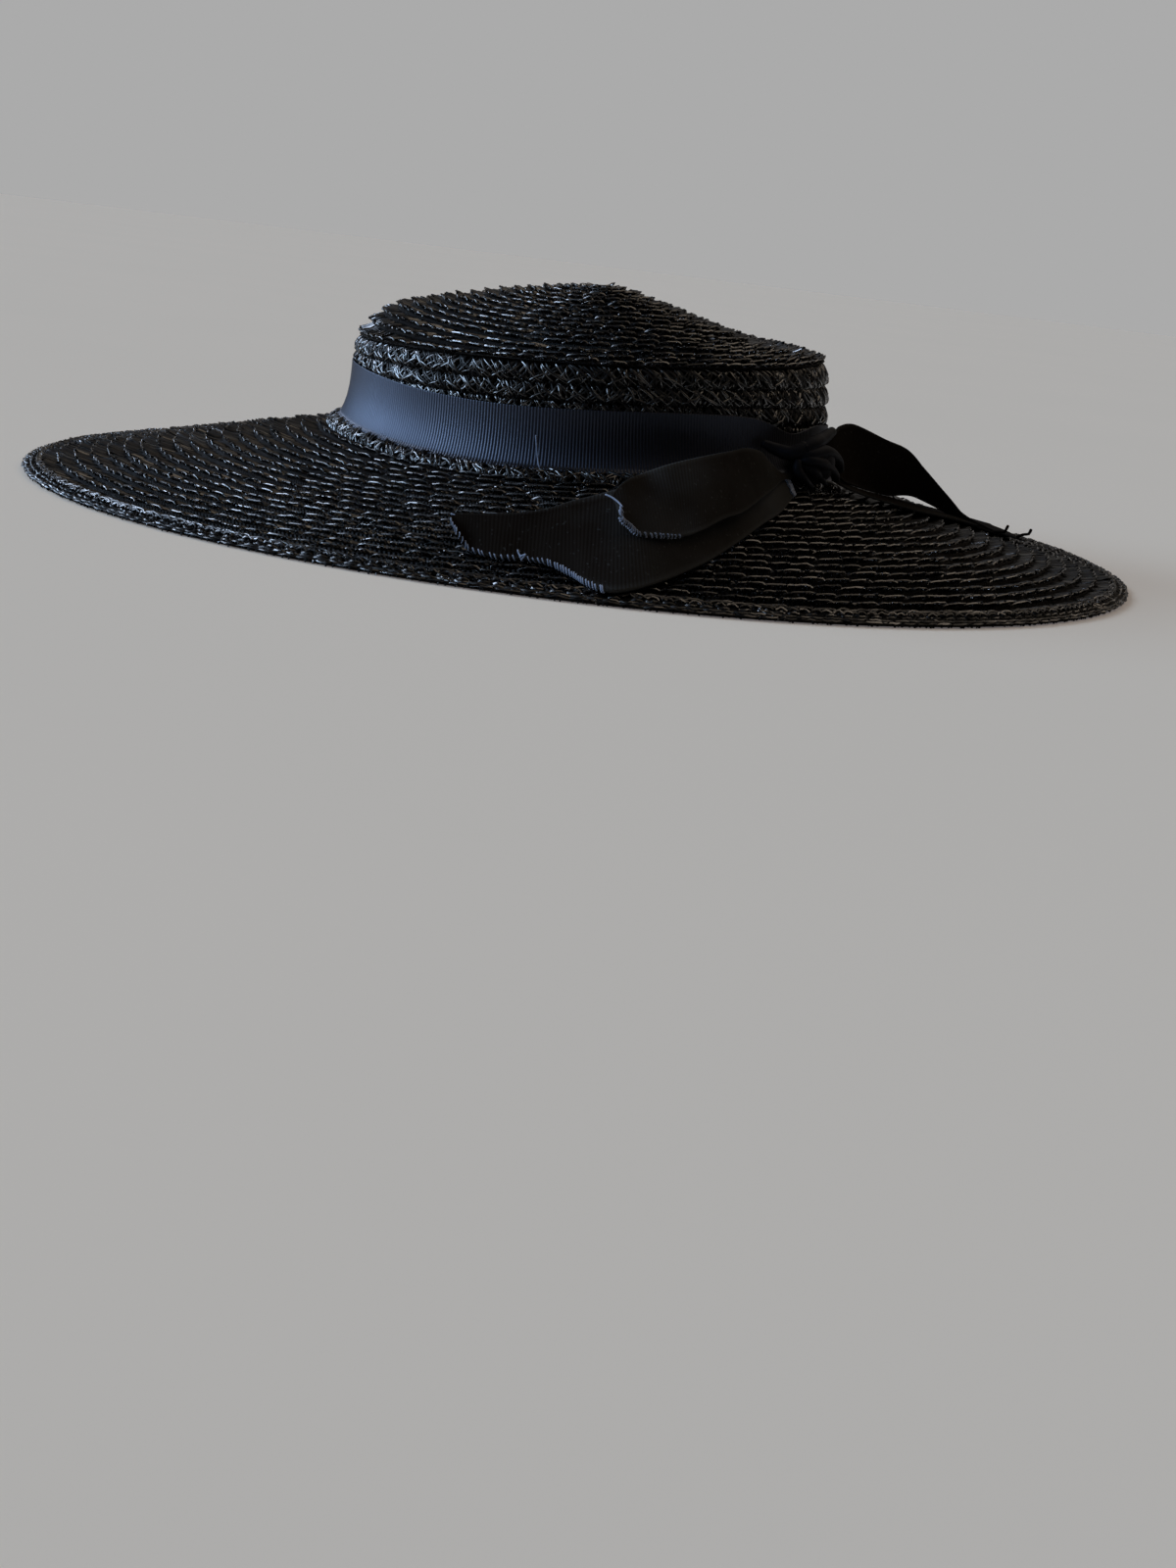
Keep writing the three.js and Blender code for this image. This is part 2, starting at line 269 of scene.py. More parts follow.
# %% Relief of the straw
STREAK_MM = 1.05            # size of the streaks that three fibres make in a straw
BACK_RIBS = 760             # ribs round the hat, so that they are about 1.1 mm apart
BACK_LEAN = 2200.0          # turn of a rib's wave for each metre outwards, in radians


def fibre_streaks(tree, place):
    """The pattern on a straw, how strong it is, and its depth."""
    streaks = {"Vector": place, "Scale": scale_of(STREAK_MM), "Detail": 2.0}
    return add_node(tree, "TexNoise", streaks), 0.25, 0.1


def ribs_round_the_hat(tree, place):
    """The pattern on the back of the braid, how strong it is, and its depth."""
    parts = add_node(tree, "SeparateXYZ", {0: place})
    sides = {0: parts.outputs["Y"], 1: parts.outputs["X"]}
    turn = add_node(tree, "Math", sides, operation="ARCTAN2")
    reach = add_node(tree, "VectorMath", {0: place}, operation="LENGTH").outputs["Value"]
    lean = add_node(tree, "Math", {0: reach, 1: BACK_LEAN}, operation="MULTIPLY")
    around = {0: turn, 1: float(BACK_RIBS), 2: lean}
    phase = add_node(tree, "Math", around, operation="MULTIPLY_ADD")
    return add_node(tree, "Math", {0: phase}, operation="SINE"), 0.8, 0.25


# %% Straw materials
FADE_MM = 45.0              # size of the patches where the dye has faded
STRAW_DYES = ((0.1, "060709"), (0.35, "0d0b0a"), (0.65, "1a1410"))


def straw_material(name, pattern, own_tones):
    """Dyed and lacquered straw. own_tones says that each straw has a tone of its own."""
    material, tree, place = new_material(name)
    tone = add_node(tree, "TexNoise", {"Vector": place, "Scale": scale_of(FADE_MM)})
    if own_tones:
        own = add_node(tree, "Attribute", attribute_name="tone").outputs["Fac"]
        tone = add_node(tree, "Math", {0: own, 1: tone}, operation="MULTIPLY")
    polish = add_node(tree, "Attribute", attribute_name="polish").outputs["Fac"]
    height, strength, depth = pattern(tree, place)
    bump = {"Height": height, "Strength": strength, "Distance": depth * MM}
    sockets = {
        "Base Color": add_node(tree, "ValToRGB", {"Fac": tone}, stops=STRAW_DYES),
        "Roughness": add_node(tree, "MapRange", {"Value": polish, "To Min": 0.5, "To Max": 0.2}),
        "IOR": 1.5,
        "Specular IOR Level": add_node(
            tree, "MapRange", {"Value": polish, "To Min": 0.1, "To Max": 0.9}
        ),
        "Coat Weight": add_node(tree, "Math", {0: polish, 1: 0.85}, operation="MULTIPLY"),
        "Coat Roughness": 0.14,
        "Coat IOR": 1.5,
        "Normal": add_node(tree, "Bump", bump),
    }
    shader = add_node(tree, "BsdfPrincipled", sockets)
    add_node(tree, "OutputMaterial", {"Surface": shader})
    return material


dyed_straw = straw_material("dyed_lacquered_straw", fibre_streaks, True)
back_straw = straw_material("dyed_straw_back", ribs_round_the_hat, False)
print("materials:", dyed_straw.name, back_straw.name)

# %% [markdown]
# ## Ribbon
# The ribbon is a rayon grosgrain, 38 mm wide. Its thick weft threads lie across it as ribs,
# one about every millimetre. Rayon has a soft satin sheen where a window falls on it, and is
# almost black where none does. Round the crown the ribs are modelled. On the loose tails they
# hardly show, so there they are a bump that follows the distance along the ribbon.

# %% Ribbon material
RIB_MM = 1.08               # from one rib to the next
FLUFF_MM = 1 / 2.6          # size of the fluff on the threads
WEAR_MM = 1000 / 38         # size of the worn patches
LINT_MM = 1 / 0.9           # size of a speck of lint and the clear cloth round it
LINT_FROM = 0.77            # the higher, the fewer specks


def ribbon_material(name, dyes, roughness, shine, relief):
    """Grosgrain. dyes are its colour where it is fresh, where wear and painted light have made it
    lighter, and at its edge.

    shine is how strongly it mirrors, and relief how strongly its ribs show as a bump.
    """
    material, tree, place = new_material(name)
    along = add_node(tree, "Attribute", attribute_name="along_mm").outputs["Fac"]
    cycle = add_node(tree, "Math", {0: along, 1: 2 * math.pi / RIB_MM}, operation="MULTIPLY")
    weft = add_node(tree, "Math", {0: cycle}, operation="SINE")
    fine = {"Vector": place, "Scale": scale_of(FLUFF_MM), "Detail": 2.0}
    fluff = {0: add_node(tree, "TexNoise", fine), 1: 0.6, 2: weft}
    height = add_node(tree, "Math", fluff, operation="MULTIPLY_ADD")
    bump = {"Height": height, "Strength": relief, "Distance": 0.14 * MM}
    # Wear comes in patches of a few centimetres, and the stiff edge is worn all along.
    # The attribute also carries painted light: a level set for each tail at its knot and at its cut
    # end, which lightens the tails that the lamps reach least.
    patches = {"Vector": place, "Scale": scale_of(WEAR_MM), "Detail": 3.0}
    edge = add_node(tree, "Attribute", attribute_name="edge_wear_and_painted_light").outputs["Fac"]
    wear_and_painted_light = {0: add_node(tree, "TexNoise", patches), 1: 0.6, 2: edge}
    wear_and_painted_light_level = add_node(tree, "Math", wear_and_painted_light, operation="MULTIPLY_ADD", use_clamp=True)
    # Specks of lint, each under half a millimetre.
    spots = {"Vector": place, "Scale": scale_of(LINT_MM), "Detail": 0.0}
    lint = {0: add_node(tree, "TexNoise", spots), 1: LINT_FROM}
    specks = {0: add_node(tree, "Math", lint, operation="GREATER_THAN"), 1: 0.28, 2: wear_and_painted_light_level}
    total = add_node(tree, "Math", specks, operation="MULTIPLY_ADD", use_clamp=True)
    sockets = {
        "Base Color": add_node(
            tree, "ValToRGB", {"Fac": total}, stops=list(zip((0.2, 0.42, 0.9), dyes))
        ),
        "Roughness": roughness,
        "IOR": 1.5,
        "Specular IOR Level": shine,
        "Specular Tint": linear("cad8fa"),
        "Normal": add_node(tree, "Bump", bump),
    }
    cloth = add_node(tree, "BsdfPrincipled", sockets)
    add_node(tree, "OutputMaterial", {"Surface": cloth})
    return material


# %% The ribbon in three states
grosgrain = ribbon_material("rayon_grosgrain", ("050507", "0a0807", "14161c"), 0.42, 0.75, 0.3)
# The tails have been handled until their shine went: a brownish black that is quite matt.
worn_grosgrain = ribbon_material(
    "rayon_grosgrain_worn", ("15110e", "1c1815", "383837"), 0.9, 0.0, 0.25
)
# Drawn tight over the knot it shines again, a little.
tight_grosgrain = ribbon_material(
    "rayon_grosgrain_tight", ("0b0a0b", "110f0f", "1f1e1f"), 0.6, 0.14, 0.25
)
print("materials:", grosgrain.name, worn_grosgrain.name, tight_grosgrain.name)

# %% [markdown]
# The stitches are spun polyester sewing thread: pale slate blue, and matt, because its short
# fibres stand off it. Its plies are twisted round each other, which a wave shows well enough.

# %% Thread material
TWIST_MM = 0.625            # from one ply to the next

sewing_thread, tree, place = new_material("spun_polyester_thread")
plies = {"Vector": place, "Scale": scale_of(TWIST_MM), "Distortion": 2.0}
twist = add_node(tree, "TexWave", plies).outputs["Fac"]
yarn = add_node(tree, "ValToRGB", {"Fac": twist}, stops=((0, "3a4254"), (1, "7c889f")))
fibres = {"Base Color": yarn, "Roughness": 0.7, "IOR": 1.5, "Sheen Weight": 0.3}
add_node(tree, "OutputMaterial", {"Surface": add_node(tree, "BsdfPrincipled", fibres)})
print("material:", sewing_thread.name)

# %% [markdown]
# ## The hat's surfaces
# The crown and brim are described once, as surfaces that take an angle round the hat and a
# share of the way across, so that every straw can be laid on them. They repeat the shapes of
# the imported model: a cone for the brim, a nearly straight wall, and a tip that has been pushed
# up into a tent with wear.

# %% Brim and wall
BRIM_RADIUS = 193.0
BRIM_ROWS = 20
STRAW = 1.8                 # thickness of the braid
ROW_STEP = 0.9              # height of the step from one row to the next
GAP = 0.3                   # between the brim and the crown that stands on it
FOOT_HALF = (83.3, 84.9)    # half widths of the crown at its foot
FOOT_HEIGHT = 24.6
FOOT_WAVES = ((1, 0.5, 168), (2, 0.3, 36), (3, 1.9, 35))    # count, height, degrees of a crest
EDGE_HALF = (81.2, 81.5)    # half widths of the crown at its upper edge
EDGE_HEIGHT = 60.4
EDGE_TILT = (-1.9, 5.0)     # how far the edge rises towards the wearer's left and back
CROWN_Y = -2.6              # the middle of the upper edge, and of the tip's rows


def foot_height(angle):
    """Height of the wavy line where the crown meets the brim."""
    waves = (h * np.cos(n * (angle - math.radians(at))) for n, h, at in FOOT_WAVES)
    return FOOT_HEIGHT + sum(waves)


def crown_foot(angle):
    """The line where the crown meets the brim."""
    x = FOOT_HALF[0] * np.cos(angle)
    return np.stack([x, FOOT_HALF[1] * np.sin(angle), foot_height(angle)], -1)


def crown_edge(angle):
    """The line where the wall meets the tip."""
    rise = EDGE_HEIGHT + EDGE_TILT[1] * np.sin(angle) + EDGE_TILT[0] * np.cos(angle)
    x = EDGE_HALF[0] * np.cos(angle)
    return np.stack([x, CROWN_Y + EDGE_HALF[1] * np.sin(angle), rise], -1)


def brim_surface(angle, share):
    """From the crown's foot, share 0, to the edge, share 1."""
    foot = crown_foot(angle)
    foot[..., 2] -= GAP
    x = BRIM_RADIUS * np.cos(angle)
    rim = np.stack([x, BRIM_RADIUS * np.sin(angle), 0 * angle + STRAW], -1)
    s = np.asarray(share)[..., None]
    return foot * (1 - s) + rim * s


def wall_surface(angle, share):
    """From the crown's upper edge, share 0, down to its foot, share 1."""
    s = np.asarray(share)[..., None]
    return crown_edge(angle) * (1 - s) + crown_foot(angle) * s


print("brim rows are", round((BRIM_RADIUS - np.mean(FOOT_HALF)) / BRIM_ROWS, 2), "mm wide")

# %% Tip
TIP_ROWS = 17
PEAK_Y = 4.5                # the tip's highest place, a little behind its middle
PEAK_Z = 81.3
# The worn tent: its rise from the upper edge, 0, to the peak, 1, for each share of the way in,
# as it is seen towards the front, the two sides and the back.
TIP_INSETS = (0, 0.07, 0.15, 0.30, 0.50, 0.75, 1)
TIP_FRONT = (0, 0.31, 0.45, 0.58, 0.74, 0.91, 1)
TIP_SIDE = (0, 0.10, 0.22, 0.40, 0.62, 0.85, 1)
TIP_BACK = (0, 0.08, 0.10, 0.14, 0.37, 0.67, 1)
# The tip's rows are closer at its shoulder, where the surface is steep.
TIP_SHARES = np.concatenate([np.linspace(0, 0.91, TIP_ROWS - 1), [0.956, 1.0]])


def tip_rise(inset, angle):
    """The rise at a share of the way in, with its corners rounded off a little."""
    front = np.maximum(0, -np.sin(angle)) ** 2
    back = np.maximum(0, np.sin(angle)) ** 2
    total = 0
    for step, weight in ((-0.02, 0.25), (0, 0.5), (0.02, 0.25)):
        at = np.clip(inset + step, 0, 1)
        total = total + weight * (
            front * np.interp(at, TIP_INSETS, TIP_FRONT)
            + back * np.interp(at, TIP_INSETS, TIP_BACK)
            + (1 - front - back) * np.interp(at, TIP_INSETS, TIP_SIDE)
        )
    return total


def tip_surface(angle, share):
    """From the middle of the tip, share 0, to the crown's upper edge, share 1."""
    s = np.asarray(share)
    x = np.cos(angle) * s
    y = np.sin(angle) * s
    # The worn tent has its own middle, the peak. Seen from there, how far out is x, y?
    peak = (PEAK_Y - CROWN_Y) / EDGE_HALF[1]
    away = np.hypot(x, y - peak) + 1e-9
    dy = (y - peak) / away
    reach = -peak * dy + np.sqrt((peak * dy) ** 2 + 1 - peak**2)
    out = np.clip(away / reach, 0, 1)
    bearing = np.arctan2(peak + reach * dy, reach * x / away)
    rise = tip_rise(1 - out, bearing)
    z = crown_edge(bearing)[..., 2] * (1 - rise) + PEAK_Z * rise
    return np.stack([EDGE_HALF[0] * x, CROWN_Y + EDGE_HALF[1] * y, z], -1)


print("the peak stands", round(PEAK_Z - EDGE_HEIGHT, 1), "mm over the crown's upper edge")

# %% Places off a surface


def unit(vectors):
    """The same directions, with a length of 1."""
    return vectors / np.maximum(np.linalg.norm(vectors, axis=-1, keepdims=True), 1e-9)


def lifted(surface, angle, share, height):
    """Points that stand a height off a surface, and the surface's normals there."""
    # A small step each way shows how the surface slopes. At the very middle of the tip all
    # angles meet, so there the slope is felt a little further out.
    d = 0.004
    safe = np.maximum(share, 0.03)
    across = surface(angle, safe + d) - surface(angle, safe - d)
    along = surface(angle + d, safe) - surface(angle - d, safe)
    normal = unit(np.cross(across, along))
    return surface(angle, share) + normal * np.asarray(height)[..., None], normal


def brim_share(angle, radius):
    """The share of the way across the brim at a radius from the hat's middle."""
    foot = crown_foot(angle)
    inner = np.hypot(foot[..., 0], foot[..., 1])
    return (radius - inner) / (BRIM_RADIUS - inner)


# %% [markdown]
# ## Ground under the straws
# Behind the straws there is always more straw. Every layer of it could be modelled, but only
# the outer one is seen, so two closed shells stand for the rest: one for the brim and one for
# the crown. They repeat the rows as low steps, lie a little under the straws outside, and are
# what is seen from below and inside.

# %% Rings of a shell
SHELL_SEGMENTS = 180

ring_angles = np.linspace(0, 2 * np.pi, SHELL_SEGMENTS, endpoint=False)


def ring(surface, share, height):
    """Points right round the hat, off a surface at one share of the way across."""
    whole = np.ones(SHELL_SEGMENTS)
    return lifted(surface, ring_angles, share * whole, height * whole)[0]


def stepped(surface, shares, height, step):
    """Two rings for each row: its low inner side and its high outer edge."""
    rings = []
    for low, high in zip(shares[:-1], shares[1:]):
        rings += [ring(surface, low, height - step), ring(surface, high, height)]
    return rings


def even(rows, first, last):
    """Where rows of one width start and end."""
    return np.linspace(first, last, rows + 1)


def ring_stack(profile, closed):
    """A mesh swept round the hat from rings of points, each as long as SHELL_SEGMENTS."""
    faces = grid_faces(len(profile), SHELL_SEGMENTS, closed=True)
    if closed:
        last = (len(profile) - 1) * SHELL_SEGMENTS
        column = np.arange(SHELL_SEGMENTS)
        ahead = (column + 1) % SHELL_SEGMENTS
        faces += np.stack([last + column, column, ahead, last + ahead], -1).tolist()
    return np.concatenate(profile), faces


def weld(thing):
    """Joins points that fall together, such as those of the crown's peak."""
    work = bmesh.new()
    work.from_mesh(thing.data)
    bmesh.ops.remove_doubles(work, verts=work.verts, dist=1e-6)
    bmesh.ops.recalc_face_normals(work, faces=work.faces)
    work.to_mesh(thing.data)
    work.free()


# %% Brim and crown shells
SHELL_DEPTH = 0.95          # how far the ground lies under the straws
SHELL_INSIDE = -STRAW - ROW_STEP
INSIDE_STEP = -0.5          # on the inside the rows step the other way
WALL_ROWS = 6
SEAM = -0.035               # the brim starts inside the wall, so that no light comes through
WALL_END = 1.08             # and the wall ends a little under the brim
RIM_GROUND = 0.992          # the ground stops just short of the edge, which is all straw
HEEL = 0.955                # inner border of the strip that the hat stands on

brim_profile = [ring(brim_surface, SEAM, -1.2)]
brim_profile += stepped(brim_surface, even(BRIM_ROWS, 0.0, RIM_GROUND), -SHELL_DEPTH, ROW_STEP)
for share in (RIM_GROUND, HEEL):
    brim_profile.append(ring(brim_surface, share, 0))
    brim_profile[-1][:, 2] = 0.0
under = stepped(brim_surface, even(BRIM_ROWS, SEAM, 0.94), SHELL_INSIDE, INSIDE_STEP)
brim_ground = mesh_object("brim_ground", *ring_stack(brim_profile + under[::-1], True), back_straw)
weld(brim_ground)
set_in_frame(brim_ground, "straw", "brim")

crown_profile = stepped(tip_surface, TIP_SHARES, -SHELL_DEPTH, ROW_STEP)
crown_profile += stepped(wall_surface, even(WALL_ROWS, 0.0, WALL_END), -SHELL_DEPTH, ROW_STEP)
inside = stepped(tip_surface, TIP_SHARES * 0.97, SHELL_INSIDE, INSIDE_STEP)
inside += stepped(wall_surface, even(WALL_ROWS, 0.03, WALL_END), SHELL_INSIDE, INSIDE_STEP)
crown_mesh = ring_stack(crown_profile + inside[::-1], False)
crown_ground = mesh_object("crown_ground", *crown_mesh, back_straw)
weld(crown_ground)
set_in_frame(crown_ground, "straw", "crown")

# %% [markdown]
# ## Straws
# In the plait, bundles of about eight split straws cross from one edge to the other and fold
# over at the edge. On the hat each row hides the inner half of the next, so what shows of a
# bundle is a parallelogram of steep straws, about 8 mm long, that ends in its fold. The fold
# isn't parallel to the row: it runs outwards, and the next bundle starts again further in.
# That gives the rows their saw-toothed edges.
# A straw could be a tube, which takes six faces all round. Here it is a strip with a raised
# ridge along its middle, two faces across. With smooth shading the ridge reads as round, and
# the whole hat stays under a million triangles.

# %% Straws as strips


def strips(paths, normals, half_width, ridge, roll=0.0):
    """Ridged strips along paths: arrays of straws, points on each straw, and x y z.

    ridge is how far the borders lie under the path, and roll tips a strip to one side.
    """
    count, steps = paths.shape[:2]
    tangent = unit(np.gradient(paths, axis=1))
    heading = unit(paths[:, steps // 2] - paths[:, 0])
    side = unit(np.cross(heading, normals))[:, None, :]
    up = unit(np.cross(np.broadcast_to(side, tangent.shape), tangent))
    wide = np.broadcast_to(np.asarray(half_width), (count,))[:, None, None]
    tilt = np.broadcast_to(np.asarray(roll), (count,))[:, None, None]
    left = paths - side * wide - up * (ridge + tilt)
    right = paths + side * wide - up * (ridge - tilt)
    points = np.stack([left, paths, right], 2).reshape(-1, 3)
    first = (np.arange(count) * steps * 3)[:, None, None]
    step = (np.arange(steps - 1) * 3)[None, :, None]
    at = first + step + np.arange(2)[None, None, :]
    faces = np.stack([at, at + 1, at + 4, at + 3], -1).reshape(-1, 4)
    return points, faces


# %% Looks and sizes of a row


def looks(rng, straws, points_each, polish, shiny):
    """A tone and a polish for each straw, for all of its points. A share shiny is like new."""
    tone = np.clip(rng.normal(0.6, 0.24, straws), 0, 1)
    own = polish * rng.uniform(0.5, 1.5, straws)
    own = np.where(rng.random(straws) < shiny, 1.0, own)
    return np.repeat(np.stack([tone, own], -1), points_each * 3, axis=0)


def straw_piece(name, parts):
    """One piece from several lots of straws: points, faces, and a look for each point."""
    offsets = np.cumsum([0] + [len(part[0]) for part in parts])
    points = np.concatenate([part[0] for part in parts])
    faces = np.concatenate([part[1] + offset for part, offset in zip(parts, offsets)])
    thing = mesh_object(name, points, faces.tolist(), dyed_straw)
    look = np.concatenate([part[2] for part in parts])
    give_attribute(thing, "tone", look[:, 0])
    give_attribute(thing, "polish", look[:, 1])
    return set_in_frame(thing, "straw")


def row_size(surface, start, end):
    """A row's mean width, and its length along its outer edge."""
    probe = np.linspace(0, 2 * np.pi, 60)
    outer = surface(probe, np.full(60, end))
    width = np.linalg.norm(outer - surface(probe, np.full(60, start)), axis=-1).mean()
    return width, np.linalg.norm(np.diff(outer, axis=0), axis=-1).sum()


# %% The flat plait
# bundle: length of row that one bundle takes up. straws: how many lie side by side.
# tooth: how far a bundle's fold runs outwards. wild: how much the straws differ.
# polish: how much lacquer most straws have kept. shiny: share of straws that are like new.
FLAT_PLAIT = {"bundle": 8.4, "straws": 8, "tooth": 0.8, "wild": 1.3, "polish": 0.3, "shiny": 0.2}
TIP_PLAIT = {"bundle": 7.2, "straws": 7, "tooth": 1.0, "wild": 1.4, "polish": 0.5, "shiny": 0.4}
STRAW_HALF = 0.41           # half width of a straw, as a share of the spacing, so gaps stay
STRAW_RIDGE = 0.46          # height of its ridge, as a share of the spacing
LEAN = math.radians(68)     # between a straw and its row
RISE = 0.6                  # how far a bundle's last straw stands over its first
ROW_DIP = 1.75              # how far a row's hidden side lies under its edge
LIP = 0.5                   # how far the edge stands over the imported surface
MISSING = 0.03              # share of straws that have broken away
SPRUNG = 0.05               # share of straws that stand up over the rest
FOLD_IN = (0.45, 0.1, 0.0, 0.7)         # back from the edge, over the fold
FOLD_DROP = (0.0, 0.1, 0.34, 1.15)      # down from the top, over the fold
# The strand that follows a bundle's edge: places along it, and its height over the fold.
STRAND_STEPS = np.array([-0.12, 0.02, 0.2, 0.4, 0.6, 0.8, 0.98, 1.1])
STRAND_SUNK = np.array([-0.75, -0.1, 0.2, 0.26, 0.26, 0.2, 0.0, -0.7])
straws_shown = round(2 * np.pi * BRIM_RADIUS / FLAT_PLAIT["bundle"]) * FLAT_PLAIT["straws"]
print("the brim's widest row has about", straws_shown, "straws")

# %% One flat row


def braid_row(surface, start, end, seed, plait):
    """The straws of one row, and the strand that follows its saw-toothed edge."""
    rng = np.random.default_rng(seed)
    width, length = row_size(surface, start, end)
    radius = length / (2 * np.pi)
    straws = plait["straws"]
    wild = plait["wild"]
    bundles = max(3, round(length / plait["bundle"]))
    pitch = length / bundles / straws

    def laid(a, over, angle):
        share = start + (end - start) * a / width
        return lifted(surface, angle, share, over - ROW_DIP * (1 - a / width))

    # Each bundle has its own tooth, lean, height and place.
    own_tooth = plait["tooth"] * rng.uniform(0.6, 1.3, bundles)
    own_lean = LEAN + rng.normal(0, 0.1 * wild, bundles)
    own_lift = rng.normal(0, 0.12 * wild, bundles)
    own_shift = rng.normal(0, 0.08 * wild, bundles)
    phase = rng.random()
    bundle = np.repeat(np.arange(bundles), straws)
    f = np.tile((np.arange(straws) + 0.5) / straws, bundles)
    kept = rng.random(len(f)) > MISSING
    bundle = bundle[kept]
    f = f[kept]

    # Each straw strays from its bundle a little. It runs from the hidden side of the row, at a
    # slant, to the edge, and over it.
    stray = rng.normal(0, 1, (7, len(f)))
    sprung = (rng.random(len(f)) < SPRUNG) * rng.uniform(0.25, 0.7, len(f))
    angle_edge = 2 * np.pi * (bundle + own_shift[bundle] + phase + f) / bundles
    angle_edge = angle_edge + stray[0] * 0.12 * wild * pitch / radius
    edge = width - own_tooth[bundle] * (1 - f) + 0.2 * stray[1]
    rise = RISE * (f - 0.45) + own_lift[bundle] + 0.14 * wild * stray[2] + sprung
    across = [0 * edge - 1.0, 0.34 * edge, 0.68 * edge] + [edge - back for back in FOLD_IN]
    over = [rise * 0.2 + 0.15, rise * 0.6 + 0.2 + 0.12 * (wild - 1) * stray[6]]
    over += [rise + LIP - 0.1 + 0.06 * wild * stray[3]]
    over += [rise + LIP - drop for drop in FOLD_DROP]
    slant = (width / np.tan(own_lean[bundle]) + 0.22 * wild * stray[4]) / radius
    places = [
        laid(a, h, angle_edge + slant * (1 - np.clip(a / edge, -0.2, 1)))
        for a, h in zip(across, over)
    ]
    paths = np.stack([point for point, normal in places], 1)
    half = pitch * (STRAW_HALF + 0.04 * stray[1])
    roll = 0.12 * wild * stray[5]
    points, faces = strips(paths, places[2][1], half, STRAW_RIDGE * pitch, roll)
    straw_looks = looks(rng, len(f), len(across), plait["polish"], plait["shiny"])

    steps = STRAND_STEPS[None, :]
    along = np.arange(bundles)[:, None] + own_shift[:, None] + phase + steps
    wander = rng.normal(0, 0.17, (bundles, len(STRAND_STEPS)))
    a = width - own_tooth[:, None] * (1 - steps) - 0.3 + wander
    h = RISE * (steps - 0.45) + own_lift[:, None] + LIP + STRAND_SUNK[None, :] + 0.6 * wander
    paths, normals = laid(a, h, 2 * np.pi * along / bundles)
    half = 0.28 * rng.uniform(0.6, 1.2, bundles)
    edge_points, edge_faces = strips(paths, normals[:, 4], half, 0.34)
    edge_looks = looks(rng, bundles, len(STRAND_STEPS), 0.55, 0.3)
    faces = np.concatenate([faces, edge_faces + len(points)])
    return np.concatenate([points, edge_points]), faces, np.concatenate([straw_looks, edge_looks])


# %% Flat rows as one piece


def braid(name, surface, edges, seed, plait=FLAT_PLAIT):
    """Rows of straws between edges that follow each other across a surface, as one piece."""
    rows = [
        braid_row(surface, start, end, seed + number, plait)
        for number, (start, end) in enumerate(zip(edges[:-1], edges[1:]))
    ]
    return straw_piece(name, rows)


# %% [markdown]
# Where the braid stands upright, on the crown's wall and against the band, its rows are seen
# full on. There the straws of the plait cross both ways, in small arches that have worked
# loose, and the row's lower edge is a zigzag of folded straws. Round straws that lie every way
# glint in every light, so this part sparkles where the flat rows only shine at their edges.

# %% Height of the band
# The lowest row on the wall slips in behind the band, so the band's height comes first.
BAND_HEIGHT = 19.5
KNOT_ANGLE = math.radians(54)
PINCH = 0.42                # share of its height that the band loses at the knot
PINCH_WIDTH = math.radians(9)       # half the width of that narrow place


def band_level(angle, share):
    """Height of the band, from its lower edge, share 0, to its fold, share 1."""
    away = np.mod(angle - KNOT_ANGLE + np.pi, 2 * np.pi) - np.pi
    pinch = PINCH * np.exp(-((away / PINCH_WIDTH) ** 2))
    middle = foot_height(angle) + GAP + BAND_HEIGHT / 2
    return middle + (share - 0.5) * BAND_HEIGHT * (1 - pinch)


print("at the knot the band is", round(BAND_HEIGHT * (1 - PINCH), 1), "mm high")

# %% One standing row
LOOP_PITCH = 1.5            # between two straws that lean the same way
LOOP_DIP = 0.9              # how far the row's upper side lies under its lower edge
LOOP_STEPS = np.array([-0.12, 0.04, 0.24, 0.5, 0.76, 0.96, 1.1])
LOOP_LEANS = ((0.8, 0.45), (-0.8, 0.2))     # how each layer leans, and how far it stands off
ZIGZAG = 6.2                # from one turn of the zigzag edge to the next


